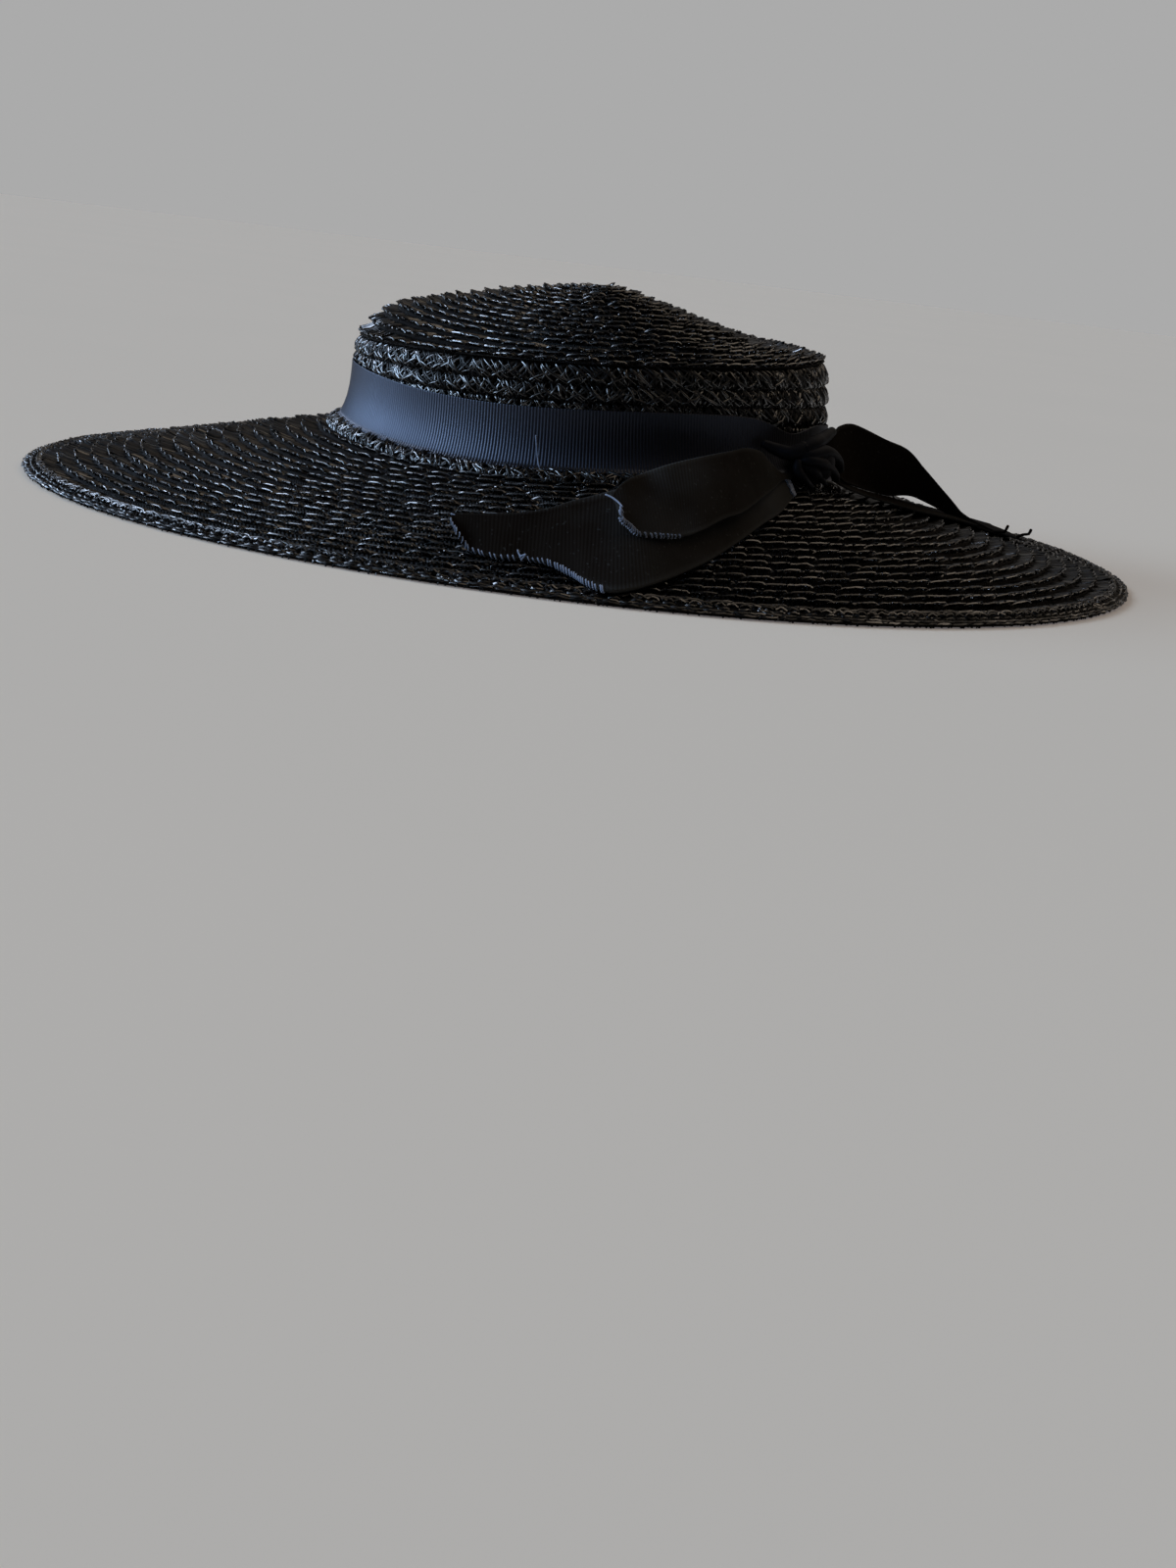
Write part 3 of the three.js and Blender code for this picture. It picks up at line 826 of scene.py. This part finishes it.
def loop_row(surface, start, end, seed, tucked):
    """A standing row. tucked says that it slips in behind the band."""
    rng = np.random.default_rng(seed)
    width, length = row_size(surface, start, end)
    radius = length / (2 * np.pi)
    # Each straw rises in an arch, and its two ends dive under the row.
    steps = LOOP_STEPS[None, :]
    arc = np.sin(np.pi * np.clip(steps, 0, 1))
    ends = np.where((steps < 0) | (steps > 1), -1.0, 0.0)

    def laid(angle, across, height):
        share = start + (end - start) * across
        height = height - LOOP_DIP * (1 - across)
        if tucked:
            hidden = surface(angle, share)[..., 2] < band_level(angle, 1.0) + 0.5
            height = np.where(hidden, np.minimum(height, -0.2), height)
        return lifted(surface, angle, share, height)

    parts = []
    for lean, lift in LOOP_LEANS:
        count = round(length / LOOP_PITCH)
        at = 2 * np.pi * (np.arange(count) + rng.normal(0, 0.3, count)) / count
        own_lean = lean * rng.normal(1, 0.4, count)
        bend = rng.normal(0, 0.7, count)
        arch = rng.uniform(0.2, 1.2, count)
        sideways = own_lean[:, None] * width * (steps - 0.5) + bend[:, None] * np.sin(4.5 * steps)
        height = lift + arch[:, None] * arc + ends
        paths, normals = laid(at[:, None] + sideways / radius, steps + 0 * sideways, height)
        half = rng.uniform(0.24, 0.42, count)
        points, faces = strips(paths, normals[:, 3], half, 0.34, rng.normal(0, 0.15, count))
        parts.append((points, faces, looks(rng, count, len(LOOP_STEPS), 0.15, 0.5)))

    count = 2 * round(length / ZIGZAG / 2)
    number = np.arange(count)[:, None]
    rising = np.where(number % 2 == 0, steps, 1 - steps)
    at = 2 * np.pi * (number + steps + rng.normal(0, 0.06, (count, 1))) / count
    across = 0.42 + 0.52 * rising + rng.normal(0, 0.03, rising.shape)
    height = 0.8 + 0.5 * arc + 1.2 * ends + rng.normal(0, 0.15, (count, 1))
    paths, normals = laid(at, across, height)
    points, faces = strips(paths, normals[:, 3], rng.uniform(0.26, 0.42, count), 0.38)
    parts.append((points, faces, looks(rng, count, len(LOOP_STEPS), 0.6, 0.7)))
    return parts


def loop_rows(name, surface, edges, seed, tucked):
    """Standing rows between edges that follow each other across a surface, as one piece."""
    parts = []
    for number, (start, end) in enumerate(zip(edges[:-1], edges[1:])):
        parts += loop_row(surface, start, end, seed + number, tucked)
    return straw_piece(name, parts)


# %% Brim rows
FOOT_OUT = 2.6              # the standing row's upper edge, off the crown's foot
FOOT_UP = 2.0
FOOT_SHARE = 0.068          # how far across the brim its lower edge lies


def foot_surface(angle, share):
    """From the band's lower edge, share 0, to the brim, share 1."""
    inner = crown_foot(angle)
    inner += np.stack([FOOT_OUT * np.cos(angle), FOOT_OUT * np.sin(angle), 0 * angle + FOOT_UP], -1)
    outer = brim_surface(angle, np.full(np.shape(angle), FOOT_SHARE))
    s = np.asarray(share)[..., None]
    return inner * (1 - s) + outer * s


# Where the brim meets the crown, one row stands up on edge against the band. The brim's last
# row is left to the binding of its edge.
loop_rows("brim_foot_braid", foot_surface, (0.0, 1.0), 90, False)
brim_edges = [row / BRIM_ROWS for row in range(BRIM_ROWS)]
braid("brim_braid_inner", brim_surface, brim_edges[:9], 100)
braid("brim_braid_middle", brim_surface, brim_edges[8:16], 200)
outer_rows = braid("brim_braid_outer", brim_surface, brim_edges[15:], 300)

# %% Crown rows
# The row that the band hides is left out. The lowest of the rest slips in behind it.
VISIBLE_WALL_ROWS = 5
WALL_START = 0.045          # a little shade shows between the tip's edge and the first row
wall_edges = even(WALL_ROWS, WALL_START, 1)[: VISIBLE_WALL_ROWS + 1]
braid("crown_tip_braid", tip_surface, TIP_SHARES, 400, TIP_PLAIT)
loop_rows("crown_wall_braid", wall_surface, wall_edges, 500, True)

# %% [markdown]
# ## Edge of the brim
# The last row is bound over the edge: a narrower plait, sewn on top, whose straws cross both
# ways and end in small loops, so that its inner border looks like lace and the rim itself is
# finely scalloped.

# %% Straws of the rim
RIM_START = 187.9           # radius of the rim row's inner border
RIM_PITCH = 1.7             # between two straws that cross it the same way
RIM_WIDTH = 5.4             # how far a straw runs sideways for a lean of 1
SCALLOPS = 184              # round arches of straw along the outer edge
# Places across the rim row, and a crossing straw's height at each.
RIM_REACH = np.array([-0.02, 0.0, 0.2, 0.5, 0.8, 1.0, 1.0])
RIM_HEIGHT = np.array([-0.8, 0.0, 0.05, -0.35, -0.1, -0.3, -1.3])
# Places along an arch, and how far it swings out at each.
ARCH_STEPS = np.array([-0.12, 0.0, 0.2, 0.4, 0.6, 0.8, 1.0, 1.12])
ARCH_SWING = np.array([-0.9, -0.4, 0.3, 0.7, 0.75, 0.3, -0.5, -1.0])


def rim_crossings(lean, seed, lift):
    """Straws that cross the rim row at a slant, from its inner loops to the edge."""
    rng = np.random.default_rng(seed)
    count = round(2 * np.pi * BRIM_RADIUS / RIM_PITCH)
    angle = 2 * np.pi * (np.arange(count) + rng.normal(0, 0.3, count)) / count
    start = RIM_START + rng.normal(0, 0.25, count)
    slant = angle[:, None] + lean * (RIM_REACH[None, :] - 0.5) * RIM_WIDTH / BRIM_RADIUS
    arch = np.abs(np.sin(slant[:, -1] * SCALLOPS / 2))
    stop = BRIM_RADIUS - 0.7 + 0.8 * arch + rng.normal(0, 0.12, count)
    radius = start[:, None] + (stop - start)[:, None] * RIM_REACH[None, :]
    own = RIM_HEIGHT[None, :] + lift + rng.normal(0, 0.16, count)[:, None]
    paths, normals = lifted(brim_surface, slant, brim_share(slant, radius), own)
    points, faces = strips(paths, normals[:, 3], 0.34, 0.4, rng.normal(0, 0.15, count))
    return points, faces, looks(rng, count, len(RIM_REACH), 0.0, 0.06)


def rim_strand(seed, radius, swing, lift, half, tooth, span):
    """A strand along the rim: one arch for each tooth, over a share span of it."""
    rng = np.random.default_rng(seed)
    count = round(2 * np.pi * BRIM_RADIUS / tooth)
    start = np.arange(count)[:, None] + rng.normal(0, 0.08, count)[:, None]
    angle = 2 * np.pi * (start + span * ARCH_STEPS[None, :]) / count
    out = radius + swing * ARCH_SWING[None, :] * rng.uniform(0.3, 1.4, count)[:, None]
    own = lift + 0.3 * ARCH_SWING[None, :] + rng.normal(0, 0.1, (count, len(ARCH_STEPS)))
    paths, normals = lifted(brim_surface, angle, brim_share(angle, out), own)
    points, faces = strips(paths, normals[:, 3], half * rng.uniform(0.7, 1.3, count), 0.4)
    return points, faces, looks(rng, count, len(ARCH_STEPS), 0.35, 0.3)


# %% Rim row
# Two layers of crossing straws, two strands at the inner border, one between, two at the edge.
SCALLOP = 2 * np.pi * BRIM_RADIUS / SCALLOPS
rim_parts = [
    rim_crossings(0.9, 600, -0.4),
    rim_crossings(-1.2, 601, -0.65),
    rim_strand(602, RIM_START + 0.1, -0.9, 0.7, 0.3, 6.5, 1.0),
    rim_strand(603, RIM_START + 0.8, -0.4, 0.55, 0.26, 3.7, 0.8),
    rim_strand(604, BRIM_RADIUS - 2.3, 0.35, 0.2, 0.24, 5.3, 0.55),
    rim_strand(605, BRIM_RADIUS - 0.6, 0.6, 0.0, 0.26, 4.6, 1.0),
    rim_strand(606, BRIM_RADIUS - 0.2, 0.9, -0.55, 0.32, SCALLOP, 1.0),
]
straw_piece("rim_braid", rim_parts)

# %% [markdown]
# ## Band
# The ribbon goes round the crown folded in half along its length, with the fold at the top
# and both edges at the bottom. It follows the foot of the crown, flares a little where it
# meets the brim, and is drawn together where it runs into the knot. The ribs could be a bump,
# as they are on the tails. Here each one is modelled, because light from the side picks every
# one of them out.

# %% Hatband
BAND_FLARE = 2.8            # how far its lower edge stands out over the brim
BAND_RIBS = 500             # so that they are about as far apart as on the tails
RIB_SAMPLES = 4             # points along the band for each rib
RIB_DEPTH = 0.22
# Rings round the band: share of its height, depth off the wall, and how much of a rib each has.
INNER_SIDE = ((0.0, 0.2, 0), (0.5, 0.2, 0), (0.97, 0.2, 0))
TOP_FOLD = ((0.995, 0.5, 0.5), (1.0, 0.68, 0.8))
OUTER_SIDE = tuple((s, 0.85, 1) for s in (0.996, 0.985, 0.9, 0.75, 0.55, 0.35, 0.2, 0.1))
# Both selvedges lie at the bottom: a slightly thicker, stitched edge.
SELVEDGES = ((0.055, 0.9, 1), (0.045, 1.25, 1.6), (0.01, 1.3, 1.6), (0.0, 0.9, 0.4))

columns = BAND_RIBS * RIB_SAMPLES
band_angle = np.linspace(0, 2 * np.pi, columns, endpoint=False)
outward = np.stack([np.cos(band_angle), np.sin(band_angle), 0 * band_angle], -1)
rib_wave = RIB_DEPTH * np.abs(np.sin(BAND_RIBS * band_angle / 2)) ** 0.7
# Between its edges the ribbon is drawn in, a little more in some places than in others.
slack = 0.2 * np.sin(5 * band_angle + 1.0) + 0.15 * np.sin(11 * band_angle) - 0.8
wall_height = crown_edge(band_angle)[:, 2] - foot_height(band_angle)


def band_ring(share, depth, rib):
    """Points round the band, at one share of its height."""
    on_wall = wall_surface(band_angle, 1 - share * BAND_HEIGHT / wall_height)
    off = depth + BAND_FLARE * (1 - share) ** 3.6 + rib * rib_wave + slack * share * (1 - share)
    points = on_wall + outward * off[:, None]
    points[:, 2] = band_level(band_angle, share)
    return points


band_rings = [band_ring(*row) for row in INNER_SIDE + TOP_FOLD + OUTER_SIDE + SELVEDGES]
band_faces = [face[::-1] for face in grid_faces(len(band_rings), columns, closed=True)]
hatband = mesh_object("ribbon_band", np.concatenate(band_rings), band_faces, grosgrain)
set_in_frame(hatband, "ribbon", "hatband")

# %% [markdown]
# ## Knot
# The ribbon's ends are crossed and drawn tight, so that its 38 mm are gathered into pleats a
# few millimetres wide. One thick fold comes out of the band, dips, and swings up to the back
# tail. Under it the gathers fan out and down, and one lobe hangs by itself. A simulation of
# cloth could tie it, but it seldom ties the same knot twice. So each fold is a rounded cord of
# cloth along a smooth curve, and a dark core fills the space between them.

# %% Smooth curves and cords
CORD_UP = np.array([0.15, 0.25, 1.0])       # no cord runs this way, so none is twisted


def smooth_curve(knots, steps):
    """A curve through every knot (Catmull-Rom), with steps points in each span."""
    knots = np.asarray(knots, float)
    padded = np.concatenate([[2 * knots[0] - knots[1]], knots, [2 * knots[-1] - knots[-2]]])
    t = (np.arange(steps) / steps)[:, None]
    spans = []
    for p0, p1, p2, p3 in zip(padded[:-3], padded[1:-2], padded[2:-1], padded[3:]):
        bend = (2 * p0 - 5 * p1 + 4 * p2 - p3) * t * t + (3 * p1 - p0 - 3 * p2 + p3) * t**3
        spans.append(0.5 * (2 * p1 + (p2 - p0) * t + bend))
    return np.concatenate(spans + [knots[-1:]])


def cord(path, radius, sides=6):
    """A round cord with closed ends: its points and faces."""
    tangent = unit(np.gradient(path, axis=0))
    side = unit(np.cross(tangent, CORD_UP))
    up = np.cross(side, tangent)
    turn = np.linspace(0, 2 * np.pi, sides, endpoint=False)[None, :, None]
    wide = np.broadcast_to(radius, (len(path),))[:, None, None]
    points = path[:, None] + wide * (np.cos(turn) * side[:, None] + np.sin(turn) * up[:, None])
    last = (len(path) - 1) * sides
    faces = grid_faces(len(path), sides, closed=True)
    faces += [list(range(sides))[::-1], list(range(last, last + sides))]
    return points.reshape(-1, 3), faces


def cord_piece(name, cords, material, *nodes):
    """One piece from several cords."""
    points = []
    faces = []
    for cord_points, cord_faces in cords:
        faces += [[v + len(points) for v in face] for face in cord_faces]
        points += cord_points.tolist()
    thing = mesh_object(name, points, faces, material)
    weld(thing)
    return set_in_frame(thing, "ribbon", *nodes)


# %% Bow knot
# Each fold: its radius at its start, middle and end, and the places that it runs through.
KNOT_FOLDS = (
    ((1.2, 2.4, 2.6), ((65.5, 56, 38.5), (65, 61.5, 36.8), (66, 66, 36.2), (64, 70.5, 38.2))),
    ((2.4, 2.6, 1.6), ((65, 69.5, 37.6), (61.5, 73.5, 40), (56, 76.5, 41.5), (48, 80, 43.5))),
    (
        (1.5, 2.6, 0.9),
        ((65, 67.5, 35.2), (65, 72, 36.2), (59, 78, 37.4), (51, 83, 34.6), (48, 85, 31)),
    ),
    (
        (1.4, 2.4, 0.8),
        ((65, 68, 34), (66, 72.5, 34.4), (61, 77.5, 33.4), (54, 82, 30.5), (50, 84, 27.6)),
    ),
    ((1.2, 2.2, 0.7), ((66, 69, 33), (65, 73, 31.8), (60.5, 76.5, 29.6), (56, 79.5, 26.8))),
    ((1.0, 1.7, 0.7), ((68, 68.3, 34.6), (69, 68.4, 31.6), (68.5, 71, 28.8), (64, 74.5, 26))),
)
KNOT_CORE = np.array([56.4, 74.0, 33.2])
KNOT_CORE_REACH = np.array([-5.0, 6.0, 1.0])    # from its middle to an end
KNOT_CORE_RADIUS = 7.3
KNOT_CORE_STEPS = 13

folds = []
for radii, places in KNOT_FOLDS:
    path = smooth_curve(places, 8)
    f = np.linspace(0, 1, len(path))
    folds.append(cord(path, np.interp(f, (0, 0.45, 1), radii) * (1 + 0.06 * np.sin(9 * f)), 14))
core_path = KNOT_CORE + np.linspace(-1, 1, KNOT_CORE_STEPS)[:, None] * KNOT_CORE_REACH
core_radius = KNOT_CORE_RADIUS * np.sqrt(1 - np.linspace(-0.97, 0.97, KNOT_CORE_STEPS) ** 2)
folds.append(cord(core_path, core_radius, 20))
bow_knot = cord_piece("bow_knot_pleats", folds, tight_grosgrain, "bow_knot")

# %% [markdown]
# ## Tails
# Past the knot the ribbon opens to its full width, with the old fold as a crease along its
# middle. Each tail is laid out by its upper and lower edges: a few places in plan, and how far
# each stands off the brim. A smooth curve goes through them, and the ribbon between them is
# one thin sheet, with a little wave of its own. Simulated cloth would drape by itself, but it
# would have to be led by many pins to lie as a handled ribbon does.

# %% Where the two tails at the side run
# Each row: x, y and height over the brim of the upper edge, the same of the lower edge, and
# how sharp the crease is.
NEAR_TAIL = (
    (66, 66.5, 6.5, 66.5, 67, 4.5, 0.0),
    (75, 62.5, 7.5, 77, 63, 5.5, 0.2),
    (86, 57.5, 12.5, 90, 59.5, 5.8, 0.5),
    (95, 53.5, 17.5, 106, 55.5, 7.5, 0.8),
    (105, 48, 20.5, 130, 48, 9, 1.0),
    (116, 43, 22, 142, 42, 10, 1.5),
    (128, 34, 22.5, 154, 35.5, 9.7, 1.5),
    (138, 24.5, 22, 160, 29.5, 9, 1.5),
    (143, 17.5, 20.2, 165.5, 23, 10, 1.0),
    (150, 13.5, 20.5, 167.5, 17, 10.5, 0.5),
    (155, 11, 20, 168, 14, 12.5, 0.3),
    (159, 9, 18.7, 169, 11.7, 14.5, 0.0),
    (161, 8.5, 18, 167, 11.7, 16.6, 0.0),
)
LONG_TAIL = (
    (67, 66, 3.5, 75, 68, 1.6, 0.0),
    (78, 59, 6.5, 98, 62.3, 1.5, 0.3),
    (90, 49.5, 10, 113.5, 56, 1.5, 0.6),
    (103, 43, 13, 133.5, 48, 1.5, 0.8),
    (120, 36, 16, 153, 39.3, 1.5, 0.8),
    (131, 29.5, 17.5, 164.5, 33, 1.5, 0.8),
    (144, 18, 17, 178, 24.3, 1.5, 0.8),
    (146, 12, 16, 188, 15.5, 1.5, 0.8),
    (147.5, 8, 15, 190.5, 9.5, 1.5, 0.6),
    (150.5, 3, 14, 187, 4, 1.5, 0.4),
    (154, -3, 13, 181.3, -0.3, 1.5, 0.4),
    (158, -8, 12, 176, -7.5, 2.2, 0.4),
    (161, -14.5, 11, 173.4, -13.6, 1.6, 0.4),
    (161, -21, 10, 173.8, -20.7, 1.6, 0.4),
    (160, -27, 9.1, 172.6, -25.4, 1.8, 0.3),
    (159, -31, 8.5, 170, -30.1, 2.4, 0.2),
    (157.5, -34, 8.0, 168, -33.4, 5.5, 0.0),
    (155.5, -36.7, 7.5, 162, -36, 7.0, 0.0),
)

# %% Where the two tails at the back run
BACK_TAIL = (
    (54, 77.5, 19, 55, 79.5, 8, 0.0),
    (46, 81, 20.5, 48, 84, 7, -0.3),
    (38, 84, 22.5, 40, 88, 4.8, -0.5),
    (26, 90, 23.5, 18, 98, 2.8, -0.5),
    (14, 103, 21.5, 6, 107, 2.4, -0.5),
    (6, 112.5, 20, -4, 116.3, 4.2, 0.0),
    (-1, 120.5, 15, -8, 123.5, 3.6, 0.0),
    (-5, 130, 8.6, -8, 132.3, 2.0, 0.0),
    (-5, 138, 3.4, -4, 138.3, 1.3, 0.0),
    (1, 144, 2.4, 2, 144, 1.2, 0.0),
    (6, 149, 2.0, 7, 148.7, 1.3, 0.0),
)
UNDER_TAIL = (
    (46.9, 80.9, 8, 48.4, 82.5, 5, 0.0),
    (28, 91, 2.9, 38, 93, 2.7, 0.0),
    (2, 109, 1.6, 22, 114, 1.6, 0.4),
    (-20, 130, 1.6, 2, 136, 1.6, 0.4),
    (-42, 154, 1.6, -3, 159, 1.6, 0.0),
)

# %% Tail sheets
RIBBON = 0.55               # thickness of the ribbon
TAIL_WAVE = 0.35            # height of the little wave along it
CREASE_HEIGHT = 1.2         # height of a crease whose sharpness is 1
SPAN_STEPS = 10             # rows of points from one row of the table to the next
# Places across a tail: close together at the edges, where the ribbon has its selvedge.
ACROSS = np.concatenate([[0, 0.018], np.linspace(0.07, 0.93, 14), [0.982, 1.0]])


def over_brim(table):
    """Points from rows of x, y and height over the brim."""
    x, y, over = table.T
    share = np.clip(brim_share(np.arctan2(y, x), np.hypot(x, y)), 0, 1)
    brim = (foot_height(np.arctan2(y, x)) - GAP) * (1 - share) + STRAW * share
    return np.stack([x, y, brim + over], -1)


def tail_sheet(sections, seed):
    """The ribbon's middle surface as rows of points, from the knot to the cut end."""
    table = np.array(sections, float)
    upper = smooth_curve(over_brim(table[:, 0:3]), SPAN_STEPS)
    lower = smooth_curve(over_brim(table[:, 3:6]), SPAN_STEPS)
    crease = smooth_curve(table[:, 6:7], SPAN_STEPS)
    sheet = upper[:, None] * (1 - ACROSS[None, :, None]) + lower[:, None] * ACROSS[None, :, None]
    u = ACROSS[None, :]
    fold = 1 - np.abs(2 * u - 1)
    phase = np.random.default_rng(seed).random(3) * 6
    row = np.arange(len(upper))[:, None] / SPAN_STEPS
    wave = TAIL_WAVE * np.sin(1.7 * row + 3 * u + phase[0]) * np.sin(np.pi * u)
    sheet[..., 2] += crease * (fold - 0.25 * np.sin(np.pi * u)) * CREASE_HEIGHT + wave
    return sheet


# %% Tails as pieces


def ribbon_piece(node, sheet, wear_and_painted_light):
    """A tail, its length and area. The third argument is how worn the tail is at the knot and at
    its cut end, and is also painted light that lightens the tails the lamps reach least.
    """
    rows, columns = sheet.shape[:2]
    normal = unit(np.cross(np.gradient(sheet, axis=0), np.gradient(sheet, axis=1)))
    edge = ((ACROSS < 0.03) | (ACROSS > 0.97)) * 1.0
    half = normal * (RIBBON / 2 * (1 + 0.5 * edge))[None, :, None]
    points = np.concatenate([(sheet + half).reshape(-1, 3), (sheet - half).reshape(-1, 3)])
    back = rows * columns
    faces = grid_faces(rows, columns)
    faces += [face[::-1] for face in grid_faces(rows, columns, first=back)]
    number = np.arange(back).reshape(rows, columns)
    rim = [*number[0], *number[1:, -1], *number[-1, -2::-1], *number[-2:0:-1, 0]]
    rim = [int(v) for v in rim]
    faces += [[v, ahead, ahead + back, v + back] for v, ahead in zip(rim, rim[1:] + rim[:1])]
    thing = mesh_object(f"{node}_ribbon", points, faces, worn_grosgrain)
    middle = np.linalg.norm(np.diff(sheet[:, columns // 2], axis=0), axis=-1)
    along = np.repeat(np.concatenate([[0], np.cumsum(middle)]), columns)
    give_attribute(thing, "along_mm", np.tile(along, 2))
    # Painted light and wear: the level given for each end lightens the tails that the lamps reach
    # least, and the edges add real wear.
    wear_and_painted_light_level = np.linspace(*wear_and_painted_light, rows)[:, None] + 0.2 * edge
    give_attribute(thing, "edge_wear_and_painted_light", np.tile(wear_and_painted_light_level.ravel(), 2))
    weld(thing)
    set_in_frame(thing, "ribbon", node)
    cells = np.cross(sheet[1:, :-1] - sheet[:-1, :-1], sheet[:-1, 1:] - sheet[:-1, :-1])
    area = np.linalg.norm(cells, axis=-1).sum()
    print(f"{thing.name}: {middle.sum():.0f} mm long, {area:.0f} square mm")
    return thing, middle.sum() * MM, area * MM * MM


near_sheet = tail_sheet(NEAR_TAIL, 1)
long_sheet = tail_sheet(LONG_TAIL, 2)
# The pairs of levels are partly painted light: they lighten the near tail all along and the long
# tail at its knot, and darken the long tail towards its cut end.
near_tail = ribbon_piece("near_tail", near_sheet, (0.3, 0.3))
long_tail = ribbon_piece("long_tail", long_sheet, (0.5, -0.1))
back_tail = ribbon_piece("back_tail", tail_sheet(BACK_TAIL, 3), (0.0, 0.0))
under_tail = ribbon_piece("under_tail", tail_sheet(UNDER_TAIL, 4), (0.1, 0.3))

# %% [markdown]
# ## Stitches and loose threads
# The cut ends of the ribbon are overcast with a pale thread against fraying. It has been done
# in a hurry: close and thick in places, and far apart in others. Ends of thread hang out. Each
# stitch is a short cord that comes up through the ribbon, goes round its edge and under it.

# %% Overcast edges
# A stitch, as places in from the edge, in shares of its reach, and places above the ribbon.
STITCH_LOOP = ((1.0, 0.45), (0.5, 0.62), (-0.12, 0.45), (-0.3, 0.0), (-0.1, -0.5), (0.6, -0.45))


def overcast(edge, inner, pitch, reach, radius, seed):
    """Stitches along an edge. inner is the line that they reach towards."""
    rng = np.random.default_rng(seed)
    travelled = np.concatenate([[0], np.cumsum(np.linalg.norm(np.diff(edge, axis=0), axis=-1))])
    count = max(2, round(travelled[-1] / pitch))
    lines = (edge, unit(np.gradient(edge, axis=0)), unit(inner - edge))
    cords = []
    for place in (np.arange(count) + 0.5 + rng.normal(0, 0.12, count)) * travelled[-1] / count:
        point, tangent, inward = (
            np.array([np.interp(place, travelled, line[:, i]) for i in range(3)])
            for line in lines
        )
        upward = unit(np.cross(tangent, inward))
        if upward[2] < 0:
            upward = -upward
        own = reach * rng.uniform(0.75, 1.2)
        slant = np.linspace(0.35, -0.35, len(STITCH_LOOP)) * pitch
        path = [
            point + inward * own * along + upward * off + tangent * lean
            for (along, off), lean in zip(STITCH_LOOP, slant)
        ]
        cords.append(cord(smooth_curve(path, 2), radius * rng.uniform(0.85, 1.15), 6))
    return cords


def lower_edge(sheet, first, last):
    """A tail's lower edge between two rows of its table, and a line a little further in."""
    part = sheet[first * SPAN_STEPS : last * SPAN_STEPS + 1]
    return part[:, -1], part[:, -4]


# %% Stitches on the two cut ends
near_last = len(NEAR_TAIL) - 1
near_stitches = cord_piece(
    "near_tail_stitches",
    overcast(*lower_edge(near_sheet, 9, near_last), 0.8, 1.1, 0.27, 11)
    + overcast(*lower_edge(near_sheet, 7, 9), 1.5, 0.6, 0.24, 12),
    sewing_thread,
)
long_last = len(LONG_TAIL) - 1
long_stitches = cord_piece(
    "long_tail_stitches",
    overcast(*lower_edge(long_sheet, 8, 11), 1.15, 1.3, 0.26, 13)
    + overcast(*lower_edge(long_sheet, 11, long_last), 1.7, 0.9, 0.2, 14)
    + overcast(long_sheet[0], long_sheet[4], 0.9, 3.2, 0.4, 15),
    sewing_thread,
)

# %% Loose threads
BAND_THREADS = (
    ((86.6, -16.6, 34.1), (87.3, -16, 31), (87, -15.4, 28), (88, -14.8, 25.5), (88.3, -14.2, 24.3)),
)
TAIL_THREADS = (
    (
        (157, -36.5, 15.4),
        (158, -34.8, 15.0),
        (159.5, -32.5, 14.0),
        (161.5, -29.3, 13.2),
        (161.8, -28.8, 12.9),
    ),
    ((160, 6.6, 26.4), (161.5, 8.4, 26.0), (163.5, 10.2, 25.2), (166.2, 11.7, 24.2)),
    ((171, -15.2, 8.6), (173.5, -16, 9.6), (175.5, -15, 8.4), (177, -13.6, 9.2), (178, -14.6, 7.6)),
)
BACK_THREADS = (
    ((4, 146.5, 12.2), (7, 148.4, 12.8), (8.5, 150, 13.2), (9.5, 150.8, 15.6)),
    ((0, 156.5, 11.0), (2, 158.2, 12.3), (3, 159.8, 12.9), (4, 160.2, 14.6)),
)


def thread_piece(name, threads, radius, material):
    """One piece from threads, each given by the places that it runs through."""
    cords = [cord(smooth_curve(places, 6), radius) for places in threads]
    return cord_piece(name, cords, material)


band_thread = thread_piece("band_thread", BAND_THREADS, 0.3, sewing_thread)
tail_threads = thread_piece("tail_threads", TAIL_THREADS, 0.26, sewing_thread)
# At the back tail's end two of the ribbon's own thick weft threads have come loose.
back_threads = thread_piece("back_tail_threads", BACK_THREADS, 0.55, worn_grosgrain)

# %% [markdown]
# ## Sheets of cloth
# Each length of ribbon is a sheet 38 mm wide, as long as it runs, and the tails are cut at a
# slant. Here each tail's length is printed with how it is held. Its area was printed when it was
# made.

for (tail, length, area), held, sewn_on in (
    (near_tail, "folded", [near_stitches]),
    (long_tail, "folded", [long_stitches, tail_threads]),
    (back_tail, "folded", [back_threads]),
    (under_tail, "laid", []),
):
    print(tail.name, held, round(length, 3), "m long")
